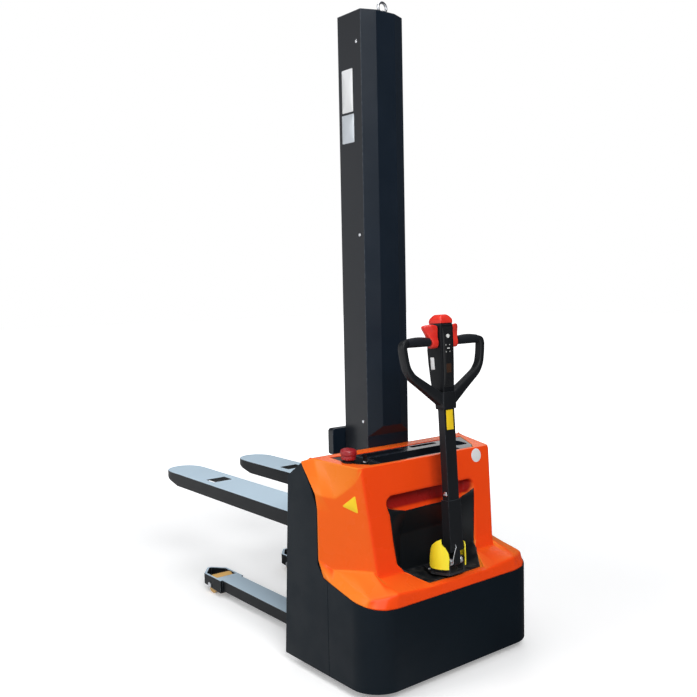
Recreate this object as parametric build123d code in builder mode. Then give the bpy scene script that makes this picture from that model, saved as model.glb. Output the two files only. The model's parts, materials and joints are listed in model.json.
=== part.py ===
from build123d import *
from math import cos, radians, sin
import os

os.makedirs("parts", exist_ok=True)

# Overall sizes in millimetres; a name ending in "_at" is a distance forward of the skirt's rear face
body_width = 800.0
half_width = body_width / 2
ground_gap = 30.0
pivot_height = 395.0
floor_drop = 53.0
floor_height = pivot_height - floor_drop
fork_face_at = 557.0
fork_length = 1150.0
length = fork_face_at + fork_length
weld_gap = 0.5
run_gap = 0.06
side_gap = 0.3

# Chassis plates
plate_thick = 6.0
skirt_wall = 5.0
skirt_corner = 108.0
skirt_seam_at = 234.0
skirt_drop = 38.0
skirt_rise = floor_height - skirt_drop
skirt_slope = 0.24
bulkhead_at = 452.0
bulkhead_thick = 8.0
bulkhead_top = 684.0
inner_half = half_width - plate_thick
deck_base = 244.0
deck_thick = 8.0
deck_top = deck_base + deck_thick
foot_top = 44.0

# Mast and its cover
mast_half = 100.0
mast_rear_at = 346.5
mast_depth = 154.0
mast_front_at = mast_rear_at + mast_depth
mast_chamfer_x = 55.7
mast_chamfer_y = 22.0
mast_height = 2338.0
cover_wall = 2.5
cover_foot = 610.0
bay_low = 800.0
bay_high = 836.0
channel_gap = 0.3
channel_wall = 8.0
channel_depth = 90.0
channel_mid_at = 450.0
channel_lip = 57.0
channel_top = mast_height - 20.0
head_thick = 10.0
screw_radius = 6.0
screw_at = 393.0
screw_above_bay = 18.0
screw_below_top = 109.0
screw_low = bay_high + screw_above_bay
screw_high = mast_height - screw_below_top
screw_share = 0.5164
screw_heights = (screw_low, screw_low + screw_share * (screw_high - screw_low), screw_high)
eye_at = 364.0
eye_ring = 14.0
eye_wire = 4.5

# Lift cylinder, chain and carriage, all in the rest position of the forks
cylinder_at = 430.0
cylinder_radius = 30.0
cylinder_bore = 24.0
cylinder_top = 1050.0
rod_radius = 17.5
rod_foot = 300.0
anchor_thick = 16.0
sheave_height = 1366.0
sheave_groove = 36.0
sheave_flange = 43.0
sheave_width = 24.0
chain_thick = 8.0
chain_width = 15.0
yoke_half = 19.0
yoke_wall = 6.0
roller_gap = 0.3
roller_radius = channel_depth / 2 - channel_wall - roller_gap
roller_width = 26.0
roller_low = 545.0
roller_high = 765.0
roller_pin = 14.0
carriage_inner = 40.0
carriage_plate = 10.0
carriage_at = mast_front_at + 5.5
crossbar_top = 593.0
headbar_half = 157.0
headbar_base = 720.0
headbar_top = 820.0
headbar_depth = 30.0

# Forks and support legs
fork_top = 503.0
fork_inner = 111.0
fork_width = 174.0
fork_depth = 57.0
fork_wall = 6.0
heel_rise = 8.0
fork_nose = 107.0
fork_slot_at = 1302.0
fork_mid = fork_inner + fork_width / 2
leg_mid = 209.0
leg_width = 94.0
leg_base = 34.0
leg_top = 80.0
leg_wall = 5.0
tip_width = 116.0
tip_rear_at = 1165.0
tip_front_at = 1330.0
tip_end_at = 1387.0
tip_base = 12.0
tip_wall = 10.0
load_axle_at = 1290.0
load_radius = 40.0
load_pin = 8.0

# Drive unit and castors
steer_at = 112.0
ring_outer = 104.0
ring_inner = 84.0
ring_base = 222.0
drive_radius = 95.0
drive_width = 60.0
drive_pin = 10.0
motor_radius = 62.0
motor_drop = 65.0
motor_top = pivot_height - motor_drop
neck_radius = 28.0
castor_inset = 110.0
castor_x = half_width - castor_inset
castor_at = 150.0
castor_trail = 30.0
castor_radius = 50.0
castor_width = 40.0
castor_top = 160.0
king_radius = 10.0
castor_pin = 6.0

# Hood faces; the left side mirrors the right
hood_gap = 0.8
hood_wall = 4.0
hood_half = half_width - 2.0
hood_front_at = 362.0
corner_at = 286.0
rear_half = 280.0
rear_at = 112.0
rear_height = 400.0
rear_lean = 0.121
top_front_at = 368.0
top_height = 760.0
top_slope = 0.07
crease_height = 620.0
shoulder_half = 306.0
shoulder_at = 167.0
deck_drop = 7.0
deck_edge = floor_height - deck_drop
deck_slope = 0.367

# Foot recess in the hood
lip_height = 640.0
recess_front_at = 24.0
recess_front = 122.0
recess_rows = (
    (floor_height, 170.0, 112.0, 124.0, 176.0),
    (410.0, 196.0, 117.0, 124.0, 175.0),
    (480.0, 203.0, 126.0, 124.0, 172.0),
    (573.0, 213.0, 137.0, 124.0, 146.0),
    (603.0, 217.0, 142.0, 132.0, 166.0),
    (lip_height, 204.0, 145.0, 150.0, 148.0),
)
panel_wall = 3.0
panel_gap = 0.3

# Tiller, measured along its own leaning axis from the pivot
pivot_at = 31.0
tiller_lean = 3.35
ear_inner = 32.0
ear_thick = 8.0
pin_radius = 8.0
socket_half = 30.5
socket_deep = 17.5
socket_top = 215.0
arm_half = 25.5
arm_deep = 15.0
arm_foot = 60.0
arm_top = 545.0
arm_wall = 3.0
collar_base = 528.0
collar_top = 590.0
head_half = 31.0
head_top = 826.0
bar_height = 764.0
bar_core = 11.0
bar_radius = 15.5
bar_reach = 187.0
loop_low = 654.0
loop_reach = 171.0
cap_travel = 4.0
press_travel = 2.5


def ahead(distance):
    return distance - length / 2


def middle(span):
    return (span[0] + span[1]) / 2


def block(x, y, z, mode=Mode.ADD):
    with Locations((middle(x), ahead(middle(y)), middle(z))):
        Box(x[1] - x[0], y[1] - y[0], z[1] - z[0], mode=mode)


def bar_x(radius, x, y, z, mode=Mode.ADD):
    with Locations((middle(x), ahead(y), z)):
        Cylinder(radius, x[1] - x[0], rotation=(0, 90, 0), mode=mode)


def bar_y(radius, x, y, z, mode=Mode.ADD):
    with Locations((x, ahead(middle(y)), z)):
        Cylinder(radius, y[1] - y[0], rotation=(90, 0, 0), mode=mode)


def bar_z(radius, x, y, z, mode=Mode.ADD):
    with Locations((x, ahead(y), middle(z))):
        Cylinder(radius, z[1] - z[0], mode=mode)


def outline(plane, points, grow=0.0, radius=0.0):
    with BuildSketch(plane, mode=Mode.PRIVATE) as face:
        with BuildLine():
            Polyline(*points, close=True)
        make_face()
        if radius > 0:
            fillet(face.vertices(), radius)
        if grow != 0:
            offset(amount=grow)
    return face.sketch


def sided(side, near, far):
    return tuple(sorted((side * near, side * far)))


def save(part, name):
    part.label = name
    export_step(part, f"parts/{name}.step")


def floor_points(points):
    return [(x, ahead(y)) for x, y in points]


def profile_points(points):
    return [(ahead(y), z) for y, z in points]


# Planes shared by the skirt, side plates and hood
def skirt_line(distance):
    return skirt_rise + skirt_slope * distance


def face_through(first, second, third, outward):
    a = Vector(first[0], ahead(first[1]), first[2])
    b = Vector(second[0], ahead(second[1]), second[2])
    c = Vector(third[0], ahead(third[1]), third[2])
    normal = (b - a).cross(c - a)
    if normal.dot(Vector(*outward)) < 0:
        normal = normal * -1
    return Plane(origin=a, z_dir=normal)


skirt_plane = Plane(origin=(0, ahead(0), skirt_rise), z_dir=(0, -skirt_slope, 1))
deck_plane = Plane(origin=(0, ahead(0), deck_edge), z_dir=(0, -deck_slope, 1))
top_plane = Plane(origin=(0, ahead(top_front_at), top_height), z_dir=(0, -top_slope, 1))
rear_plane = Plane(origin=(0, ahead(rear_at), rear_height), z_dir=(0, -1, rear_lean))


def top_line(distance):
    return top_height - top_slope * (top_front_at - distance)


def corner_plane(side):
    run = corner_at - rear_at
    step = hood_half - rear_half
    return Plane(origin=(side * hood_half, ahead(corner_at), 0), z_dir=(side * run, -step, 0))


def facet_plane(side):
    return face_through(
        (side * hood_half, corner_at, crease_height),
        (side * hood_half, top_front_at, top_height),
        (side * shoulder_half, shoulder_at, top_line(shoulder_at)),
        (side, 0, 0),
    )


# Side plates: the outline runs from the seam round the front edge and back down the hood's edge
plate_outline = profile_points((
    (skirt_seam_at + weld_gap, ground_gap),
    (mast_front_at - 2.5, ground_gap),
    (bulkhead_at + 10, 606),
    (bulkhead_at + 4, bulkhead_top + 6),
    (374, 746),
    (318, 664),
    (corner_at + 2, 604),
    (corner_at + 2, skirt_line(corner_at) + 32),
    (258, skirt_line(258) + 1),
    (skirt_seam_at + weld_gap, skirt_line(skirt_seam_at)),
))


def side_plate(side):
    face = outline(Plane.YZ.offset(min(side * half_width, side * inner_half)), plate_outline)
    with BuildPart() as plate:
        extrude(face, amount=plate_thick)
    return plate.part


save(side_plate(-1), "side_plate_left")
save(side_plate(1), "side_plate_right")

# Rear skirt, a bent sheet with its top edge cut to the skirt line
with BuildPart() as rear_skirt:
    with BuildSketch(Plane.XY.offset(ground_gap)):
        with Locations((0, ahead(skirt_seam_at))):
            RectangleRounded(body_width, 2 * skirt_seam_at, skirt_corner)
        offset(amount=-skirt_wall, mode=Mode.SUBTRACT)
    extrude(amount=skirt_rise + 100)
    split(bisect_by=Plane(origin=(0, ahead(skirt_seam_at), 0), z_dir=(0, 1, 0)), keep=Keep.BOTTOM)
    split(bisect_by=skirt_plane, keep=Keep.BOTTOM)
save(rear_skirt.part, "rear_skirt")

# Chassis frame: bulkhead with the mast window, drive deck, mast foot and castor posts
deck_rear_at = skirt_wall + 1
closing_sheet = outline(Plane.YZ.offset(-inner_half), profile_points((
    (hood_front_at + 3, 740), (374, 740), (bulkhead_at + 4, bulkhead_top + 4), (bulkhead_at + 4, bulkhead_top - 4),
    (hood_front_at + 3, 732),
)))
with BuildPart() as chassis_frame:
    block((-inner_half, inner_half), (bulkhead_at, bulkhead_at + bulkhead_thick), (leg_base, bulkhead_top))
    block((-mast_half - 3, mast_half + 3), (bulkhead_at - 5, bulkhead_at + 20), (foot_top, bulkhead_top + 1),
          mode=Mode.SUBTRACT)
    block((-mast_half, mast_half), (395, mast_front_at), (leg_base, foot_top))
    extrude(closing_sheet, amount=2 * inner_half)
    block((-mast_half - 3, mast_half + 3), (mast_rear_at, bulkhead_at + 20), (bulkhead_top - 20, 800),
          mode=Mode.SUBTRACT)
    with BuildSketch(Plane.XY.offset(deck_base)) as deck_sheet:
        with Locations((0, ahead((deck_rear_at + bulkhead_at) / 2))):
            Rectangle(2 * inner_half, bulkhead_at - deck_rear_at)
        fillet(deck_sheet.vertices().group_by(Axis.Y)[0], skirt_corner - skirt_wall)
        with Locations((0, ahead(steer_at))):
            Circle(motor_radius + 8, mode=Mode.SUBTRACT)
        with Locations((0, ahead((380 + bulkhead_at) / 2))):
            Rectangle(2 * mast_half + 6, bulkhead_at - 380, mode=Mode.SUBTRACT)
    extrude(amount=deck_thick)
    for side in (-1, 1):
        block((side * castor_x - 30, side * castor_x + 30), (castor_at - 30, castor_at + 30),
              (castor_top, deck_base))
        bar_z(king_radius + run_gap, side * castor_x, castor_at, (castor_top, castor_top + 34), Mode.SUBTRACT)
save(chassis_frame.part, "chassis_frame")


# Support legs: a box tube with a wider forked tip round the load roller
def support_leg(side):
    mid = side * leg_mid
    half = tip_width / 2
    leg_end = tip_rear_at + tip_wall
    nose = [
        (mid - half, tip_rear_at), (mid + half, tip_rear_at), (mid + half, tip_front_at),
        (mid + 10, tip_end_at), (mid - 10, tip_end_at), (mid - half, tip_front_at),
    ]
    housing = outline(Plane.XY.offset(tip_base), floor_points(nose))
    pocket = outline(Plane.XY.offset(tip_base), floor_points(nose), -tip_wall)
    with BuildPart() as well:
        extrude(pocket, amount=leg_top)
        block((mid - half, mid + half), (tip_rear_at, load_axle_at - load_radius - 8), (0, 2 * leg_top),
              Mode.SUBTRACT)
    with BuildPart() as leg:
        block((mid - leg_width / 2, mid + leg_width / 2), (bulkhead_at + bulkhead_thick, leg_end),
              (leg_base, leg_top))
        block((mid - leg_width / 2 + leg_wall, mid + leg_width / 2 - leg_wall),
              (bulkhead_at + bulkhead_thick, tip_rear_at), (leg_base + leg_wall, leg_top - leg_wall),
              Mode.SUBTRACT)
        extrude(housing, amount=leg_top - tip_base)
        add(well.part, mode=Mode.SUBTRACT)
        bar_x(load_pin + 0.02, (mid - half - 5, mid + half + 5), load_axle_at, load_radius, Mode.SUBTRACT)
    return leg.part


save(support_leg(-1), "leg_left")
save(support_leg(1), "leg_right")

with BuildPart() as load_axles:
    for side in (-1, 1):
        mid = side * leg_mid
        half = tip_width / 2
        bar_x(load_pin, (mid - half, mid + half), load_axle_at, load_radius)
        bar_x(12, (mid - half - 4, mid - half), load_axle_at, load_radius)
        bar_x(12, (mid + half, mid + half + 4), load_axle_at, load_radius)
save(load_axles.part, "load_axles")


def load_wheel(side):
    width = tip_width - 2 * tip_wall - 4
    with BuildPart() as wheel:
        bar_x(load_radius, (side * leg_mid - width / 2, side * leg_mid + width / 2), load_axle_at, load_radius)
        fillet(wheel.edges().filter_by(GeomType.CIRCLE), 4)
        bar_x(load_pin + run_gap, (side * leg_mid - width, side * leg_mid + width), load_axle_at, load_radius,
              Mode.SUBTRACT)
    return wheel.part


save(load_wheel(-1), "load_wheel_left")
save(load_wheel(1), "load_wheel_right")

# Mast channels, opening towards each other, with the cap plate on top
channel_outer = mast_half - cover_wall - channel_gap
channel_inner = channel_outer - channel_wall


def mast_channel(side):
    with BuildPart() as channel:
        block(sided(side, channel_lip, channel_outer),
              (channel_mid_at - channel_depth / 2, channel_mid_at + channel_depth / 2), (foot_top, channel_top))
        block(sided(side, channel_lip - 1, channel_inner),
              (channel_mid_at - channel_depth / 2 + channel_wall, channel_mid_at + channel_depth / 2 - channel_wall),
              (foot_top - 1, channel_top + 1), Mode.SUBTRACT)
    return channel.part


save(mast_channel(-1), "mast_channel_left")
save(mast_channel(1), "mast_channel_right")

mast_head_top = channel_top + head_thick
with BuildPart() as mast_head:
    block((-channel_outer, channel_outer), (mast_rear_at + mast_chamfer_y + cover_wall + 0.3, mast_front_at - 4),
          (channel_top, mast_head_top))
    block((-40, 40), (mast_rear_at + cover_wall + 1, mast_rear_at + mast_chamfer_y + 4),
          (channel_top, mast_head_top))
    bar_z(6, 0, eye_at, (channel_top - 1, mast_head_top + 1), Mode.SUBTRACT)
save(mast_head.part, "mast_head")

# Mast cover: a folded sheet open at the front, its rear bay cut back near the hood
cover_points = floor_points((
    (mast_half, mast_front_at),
    (mast_half, mast_rear_at + mast_chamfer_y),
    (mast_half - mast_chamfer_x, mast_rear_at),
    (mast_chamfer_x - mast_half, mast_rear_at),
    (-mast_half, mast_rear_at + mast_chamfer_y),
    (-mast_half, mast_front_at),
))


def cover_block(shrink):
    plan = outline(Plane.XY.offset(cover_foot), cover_points, -shrink)
    bay_at = mast_rear_at + mast_chamfer_y + shrink
    bay = outline(Plane.YZ.offset(-mast_half), profile_points((
        (mast_rear_at - 20, cover_foot - 20), (bay_at, cover_foot - 20), (bay_at, bay_low + shrink),
        (mast_rear_at + shrink, bay_high + shrink), (mast_rear_at - 20, bay_high + shrink),
    )))
    with BuildPart() as body:
        extrude(plan, amount=mast_height - shrink - cover_foot)
        extrude(bay, amount=2 * mast_half, mode=Mode.SUBTRACT)
    return body.part


cover_outside = cover_block(0)
cover_inside = cover_block(cover_wall)
with BuildPart() as mast_cover:
    add(cover_outside)
    add(cover_inside, mode=Mode.SUBTRACT)
    block((-mast_half + cover_wall, mast_half - cover_wall), (mast_front_at - 2 * cover_wall, mast_front_at + 5),
          (cover_foot - 5, mast_height - cover_wall), Mode.SUBTRACT)
    bar_z(8.05, 0, eye_at, (mast_height - 10, mast_height + 5), Mode.SUBTRACT)
save(mast_cover.part, "mast_cover")

with BuildPart() as cover_screws:
    for side in (-1, 1):
        for height in screw_heights:
            bar_x(screw_radius, sided(side, mast_half, mast_half + 2.5), screw_at, height)
save(cover_screws.part, "cover_screws")

ring_height = mast_height + 4 + eye_ring + eye_wire
with BuildPart() as lifting_eye:
    bar_z(6, 0, eye_at, (channel_top, mast_head_top))
    bar_z(8, 0, eye_at, (mast_head_top, mast_height))
    bar_z(12, 0, eye_at, (mast_height, mast_height + 4.5))
    with Locations((0, ahead(eye_at), ring_height)):
        Torus(eye_ring, eye_wire, rotation=(90, 0, 0))
save(lifting_eye.part, "lifting_eye")

# Lift cylinder tube with its port boss, and the chain anchor that caps it
with BuildPart() as lift_cylinder:
    bar_z(cylinder_radius, 0, cylinder_at, (foot_top, cylinder_top))
    bar_y(10, 0, (cylinder_at - cylinder_radius - 12, cylinder_at - cylinder_bore), 300)
    bar_z(cylinder_bore, 0, cylinder_at, (foot_top + 16, cylinder_top + 1), Mode.SUBTRACT)
save(lift_cylinder.part, "lift_cylinder")

chain_radius = sheave_groove + 0.4 + chain_thick / 2
chain_rear_at = cylinder_at - chain_radius
chain_front_at = cylinder_at + chain_radius
anchor_top = cylinder_top + anchor_thick
with BuildPart() as chain_anchor:
    bar_z(cylinder_radius, 0, cylinder_at, (cylinder_top, anchor_top))
    block((-12, 12), (chain_rear_at - 10, cylinder_at), (cylinder_top, anchor_top))
    bar_z(rod_radius + run_gap, 0, cylinder_at, (cylinder_top - 1, anchor_top + 1), Mode.SUBTRACT)
save(chain_anchor.part, "chain_anchor")

# Piston rod with the sheave yoke on its upper end
yoke_base = sheave_height - sheave_flange - 23
with BuildPart() as piston_rod:
    bar_z(cylinder_bore - run_gap, 0, cylinder_at, (rod_foot, rod_foot + 30))
    bar_z(rod_radius, 0, cylinder_at, (rod_foot, yoke_base + 2))
    block((-yoke_half, yoke_half), (cylinder_at - 18, cylinder_at + 18), (yoke_base, yoke_base + 16))
    for side in (-1, 1):
        block(sided(side, yoke_half - yoke_wall, yoke_half), (cylinder_at - 15, cylinder_at + 15),
              (yoke_base, sheave_height + 18))
    bar_x(8, (-yoke_half, yoke_half), cylinder_at, sheave_height)
save(piston_rod.part, "piston_rod")

with BuildPart() as chain_sheave:
    bar_x(sheave_flange, (-sheave_width / 2, sheave_width / 2), cylinder_at, sheave_height)
    with BuildSketch(Plane.XY.offset(sheave_height)):
        with Locations((0, ahead(cylinder_at) + sheave_groove + 10)):
            Rectangle(chain_width + 1, 20)
    revolve(axis=Axis((0, ahead(cylinder_at), sheave_height), (1, 0, 0)), mode=Mode.SUBTRACT)
    bar_x(8 + run_gap, (-20, 20), cylinder_at, sheave_height, Mode.SUBTRACT)
save(chain_sheave.part, "chain_sheave")

chain_inner = chain_radius - chain_thick / 2
chain_outer = chain_radius + chain_thick / 2
clevis_top = 515.0
with BuildPart() as chain_front:
    bar_x(chain_outer, (-chain_width / 2, chain_width / 2), cylinder_at, sheave_height)
    bar_x(chain_inner, (-chain_width, chain_width), cylinder_at, sheave_height, Mode.SUBTRACT)
    split(bisect_by=Plane.XY.offset(sheave_height), keep=Keep.TOP)
    block((-chain_width / 2, chain_width / 2), (cylinder_at + chain_inner, cylinder_at + chain_outer),
          (clevis_top + side_gap, sheave_height))
save(chain_front.part, "chain_front")

with BuildPart() as chain_rear:
    block((-chain_width / 2, chain_width / 2), (cylinder_at - chain_outer, cylinder_at - chain_inner),
          (anchor_top + side_gap, sheave_height))
save(chain_rear.part, "chain_rear")

# Carriage: roller plates inside the mast, crossbars in front of it
carriage_outer = carriage_inner + carriage_plate
with BuildPart() as carriage_frame:
    for side in (-1, 1):
        block(sided(side, carriage_inner, carriage_outer), (channel_mid_at - 25, carriage_at + 24), (485, 805))
        for height in (roller_low, roller_high):
            bar_x(roller_pin, sided(side, carriage_inner, channel_inner - 2), channel_mid_at, height)
        block(sided(side, carriage_outer - 20, fork_inner), (carriage_at + 4, carriage_at + 22),
              (crossbar_top - 2, headbar_base + 2))
    block((-fork_inner - fork_width, fork_inner + fork_width), (carriage_at, fork_face_at),
          (fork_top + heel_rise, crossbar_top))
    block((-carriage_inner - 2, carriage_inner + 2), (cylinder_at + cylinder_radius + 2, chain_front_at + 12),
          (clevis_top - 25, clevis_top))
    with BuildSketch(Plane.XZ.offset(-ahead(carriage_at))):
        with Locations((0, (headbar_base + headbar_top) / 2)):
            RectangleRounded(2 * headbar_half, headbar_top - headbar_base, 12)
    extrude(amount=-headbar_depth)
save(carriage_frame.part, "carriage_frame")


def mast_rollers(height):
    outer = channel_inner - 3
    with BuildPart() as rollers:
        for side in (-1, 1):
            bar_x(roller_radius, sided(side, outer - roller_width, outer), channel_mid_at, height)
            bar_x(roller_pin + run_gap, sided(side, channel_lip - 10, outer + 10), channel_mid_at, height,
                  Mode.SUBTRACT)
    return rollers.part


save(mast_rollers(roller_low), "lower_rollers")
save(mast_rollers(roller_high), "upper_rollers")


# Forks: an upside-down channel with a rounded, bevelled nose and a slot over the load roller
def fork(side):
    near = side * fork_inner
    far = side * (fork_inner + fork_width)
    mid = side * fork_mid
    heel = ahead(carriage_at)
    nose_start = ahead(length - fork_nose)
    with BuildPart() as blade:
        with BuildSketch(Plane.XY.offset(fork_top - fork_depth)) as plan:
            with BuildLine():
                Polyline((near, nose_start), (near, heel), (far, heel), (far, nose_start))
                EllipticalCenterArc((mid, nose_start), fork_width / 2, fork_nose, 0, arc_size=180)
            make_face()
        extrude(amount=fork_depth)
        with BuildSketch(Plane.XY.offset(fork_top - fork_depth)) as hollow:
            with BuildLine():
                Polyline((near + side * fork_wall, nose_start), (near + side * fork_wall, heel - 1),
                         (far - side * fork_wall, heel - 1), (far - side * fork_wall, nose_start))
                EllipticalCenterArc((mid, nose_start), fork_width / 2 - fork_wall, fork_nose - fork_wall,
                                    0, arc_size=180)
            make_face()
        extrude(amount=fork_depth - fork_wall, mode=Mode.SUBTRACT)
        block((mid - 44.5, mid + 44.5), (fork_slot_at - 34, fork_slot_at + 34),
              (fork_top - 2 * fork_wall, fork_top + 5), Mode.SUBTRACT)
        split(bisect_by=Plane(origin=(0, ahead(length - 165), fork_top - fork_depth), z_dir=(0, 0.22, -1)),
              keep=Keep.BOTTOM)
        block(sided(side, fork_inner, fork_inner + fork_width), (carriage_at, fork_face_at),
              (fork_top - fork_wall, fork_top + heel_rise))
    return blade.part


save(fork(-1), "fork_left")
save(fork(1), "fork_right")


# Hood: faceted upper body on a sloping deck, cut as a shell
def hood_body(shrink):
    half = hood_half - shrink
    with BuildPart() as upper:
        block((-half, half), (40, 420), (skirt_rise - 10, 820))
        split(bisect_by=rear_plane.offset(-shrink), keep=Keep.BOTTOM)
        split(bisect_by=top_plane.offset(-shrink), keep=Keep.BOTTOM)
        for side in (-1, 1):
            split(bisect_by=corner_plane(side).offset(-shrink), keep=Keep.BOTTOM)
            split(bisect_by=facet_plane(side).offset(-shrink), keep=Keep.BOTTOM)
    return upper.part


def hood_deck(shrink):
    half = hood_half - shrink
    rear = ahead(2 + shrink)
    front = ahead(420)
    with BuildPart() as sheet:
        with BuildSketch(Plane.XY.offset(skirt_rise - 10)) as plan:
            with Locations((0, (rear + front) / 2)):
                Rectangle(2 * half, front - rear)
            fillet(plan.vertices().group_by(Axis.Y)[0], skirt_corner - 2 - shrink)
        extrude(amount=300)
        split(bisect_by=deck_plane.offset(-shrink), keep=Keep.BOTTOM)
    return sheet.part


def recess_block(grow):
    with BuildPart() as pocket:
        for index, row in enumerate(recess_rows):
            height, side_half, side_at, back_half, back_at = row
            if index == 0:
                height = height - grow
            if index == len(recess_rows) - 1:
                height = height + grow
            points = floor_points((
                (recess_front + grow, recess_front_at - grow),
                (side_half + grow, side_at + grow / 2),
                (back_half + grow / 2, back_at + grow),
                (-back_half - grow / 2, back_at + grow),
                (-side_half - grow, side_at + grow / 2),
                (-recess_front - grow, recess_front_at - grow),
            ))
            with BuildSketch(Plane.XY.offset(height)):
                with BuildLine():
                    Polyline(*points, close=True)
                make_face()
        loft(ruled=True)
    return pocket.part


top_frame = Plane(
    origin=(0, ahead(shoulder_at + 48), top_line(shoulder_at + 48)),
    x_dir=(1, 0, 0),
    z_dir=(0, -top_slope, 1),
)
tray_left = -203.0
tray_near = -46.0
tray_far = 100.0
switch_left = -324.0
switch_far = 118.0
tray_points = ((tray_left, tray_near), (238, tray_near), (266, -20), (328, tray_far), (tray_left, tray_far))
switch_points = (
    (tray_left - 10.5, tray_near), (-240, tray_near), (-290, -14), (switch_left, 40), (switch_left, switch_far),
    (tray_left - 10.5, switch_far),
)
insert_gap = 0.4
tray_hole = outline(top_frame.offset(-3 * hood_wall), tray_points, insert_gap, 8)
switch_hole = outline(top_frame.offset(-3 * hood_wall), switch_points, insert_gap, 8)
front_cut = outline(Plane.YZ.offset(-half_width), plate_outline, hood_gap)
outer_upper = hood_body(0)
outer_deck = hood_deck(0)
inner_upper = hood_body(hood_wall)
inner_deck = hood_deck(hood_wall)
recess_cut = recess_block(0)
recess_grown = recess_block(hood_wall)

with BuildPart() as hood_mass:
    add(outer_upper)
    add(outer_deck)

with BuildPart() as recess_pan:
    add(recess_grown)
    add(hood_mass.part, mode=Mode.INTERSECT)

with BuildPart() as hood:
    add(hood_mass.part)
    add(inner_upper, mode=Mode.SUBTRACT)
    add(inner_deck, mode=Mode.SUBTRACT)
    split(bisect_by=skirt_plane.offset(hood_gap), keep=Keep.TOP)
    add(recess_pan.part)
    add(recess_cut, mode=Mode.SUBTRACT)
    extrude(front_cut, amount=body_width, mode=Mode.SUBTRACT)
    block((-half_width, half_width), (hood_front_at, 700), (0, 900), Mode.SUBTRACT)
    extrude(tray_hole, amount=6 * hood_wall, mode=Mode.SUBTRACT)
    extrude(switch_hole, amount=6 * hood_wall, mode=Mode.SUBTRACT)
    bar_z(neck_radius + 6, 0, steer_at, (floor_height - 20, floor_height + 5), Mode.SUBTRACT)
save(hood.part, "hood")

# Black liner in the foot recess, its top edge rising towards both sides
liner_outside = recess_block(-panel_gap)
liner_inside = recess_block(-panel_gap - panel_wall)
liner_low = recess_rows[3][0]
liner_high = recess_rows[4][0]
rise_half = recess_rows[4][1]
flat_half = recess_rows[3][3]
liner_cut = outline(Plane.XZ.offset(-ahead(300)), (
    (-rise_half - 80, liner_high + 26), (-rise_half, liner_high), (-flat_half, liner_low), (flat_half, liner_low),
    (rise_half, liner_high), (rise_half + 80, liner_high + 26), (rise_half + 80, top_height + 140),
    (-rise_half - 80, top_height + 140),
))
with BuildPart() as recess_panel:
    add(liner_outside)
    add(liner_inside, mode=Mode.SUBTRACT)
    add(hood_mass.part, mode=Mode.INTERSECT)
    extrude(liner_cut, amount=400, mode=Mode.SUBTRACT)
    bar_z(neck_radius + 6, 0, steer_at, (floor_height - 20, floor_height + 20), Mode.SUBTRACT)
save(recess_panel.part, "recess_panel")

# Storage tray let into the hood's top, held by a flange under the sheet
tray_face = outline(top_frame.offset(-hood_wall - 40), tray_points, 0, 8)
tray_flange = outline(top_frame.offset(-hood_wall - 3), tray_points, 5)
with BuildPart() as storage_tray:
    extrude(tray_face, amount=hood_wall + 38.5)
    extrude(tray_flange, amount=3)
    with BuildSketch(top_frame.offset(-36)):
        with Locations((tray_left + 200, tray_near + 48)):
            RectangleRounded(380, 80, 8)
        with Locations((tray_left + 106, tray_far - 26)):
            RectangleRounded(192, 36, 8)
        with Locations((106, tray_far - 20)):
            RectangleRounded(130, 22, 9)
        with Locations((238, 32)):
            RectangleRounded(64, 62, 16)
    extrude(amount=60, mode=Mode.SUBTRACT)
save(storage_tray.part, "storage_tray")

# Switch panel beside the tray, with a socket for the stop button and one for the key
stop_x = -289.0
stop_y = 33.0
key_x = -250.0
key_y = -10.0
stop_travel = 6.0
switch_face = outline(top_frame.offset(-hood_wall - 12), switch_points, 0, 8)
switch_flange = outline(top_frame.offset(-hood_wall - 3), switch_points, 4)
with BuildPart() as control_panel:
    extrude(switch_face, amount=hood_wall + 10)
    extrude(switch_flange, amount=3)
    with BuildSketch(top_frame.offset(-3)):
        with Locations((stop_x, stop_y)):
            Circle(24)
    extrude(amount=8)
    with BuildSketch(top_frame.offset(-3)):
        with Locations((key_x, key_y)):
            Circle(13)
    extrude(amount=8)
    with BuildSketch(top_frame.offset(-30)):
        with Locations((stop_x, stop_y)):
            Circle(9 + run_gap)
        with Locations((key_x, key_y)):
            Circle(5 + run_gap)
    extrude(amount=80, mode=Mode.SUBTRACT)
save(control_panel.part, "control_panel")

with BuildPart() as estop_button:
    with BuildSketch(top_frame.offset(-10)):
        with Locations((stop_x, stop_y)):
            Circle(9)
    extrude(amount=30)
    with BuildSketch(top_frame.offset(5.5 + stop_travel)):
        with Locations((stop_x, stop_y)):
            Circle(25.5)
    extrude(amount=16)
    with BuildSketch(top_frame.offset(26)):
        with Locations((stop_x, stop_y)):
            Circle(28.5)
    extrude(amount=20)
    fillet(estop_button.edges().filter_by(GeomType.CIRCLE).group_by(Axis.Z)[-1], 7)
save(estop_button.part, "estop_button")

with BuildPart() as key:
    with BuildSketch(top_frame.offset(-8)):
        with Locations((key_x, key_y)):
            Circle(5)
    extrude(amount=14)
    with BuildSketch(top_frame.offset(5.5)):
        with Locations((key_x, key_y)):
            Rectangle(3, 20)
    extrude(amount=24)
save(key.part, "key")

# Power pack on the drive deck, under the hood
with BuildPart() as battery:
    block((-185, 185), (198, 338), (deck_top, 470))
    for x in (-150, 150):
        bar_z(10, x, 268, (470, 486))
save(battery.part, "battery")

with BuildPart() as oil_tank:
    block((215, 325), (232, 345), (deck_top, 392))
    fillet(oil_tank.edges().filter_by(Axis.Z), 10)
save(oil_tank.part, "oil_tank")

with BuildPart() as pump_motor:
    bar_z(45, 270, 288, (392, 520))
    bar_z(30, 270, 288, (520, 532))
save(pump_motor.part, "pump_motor")

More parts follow.
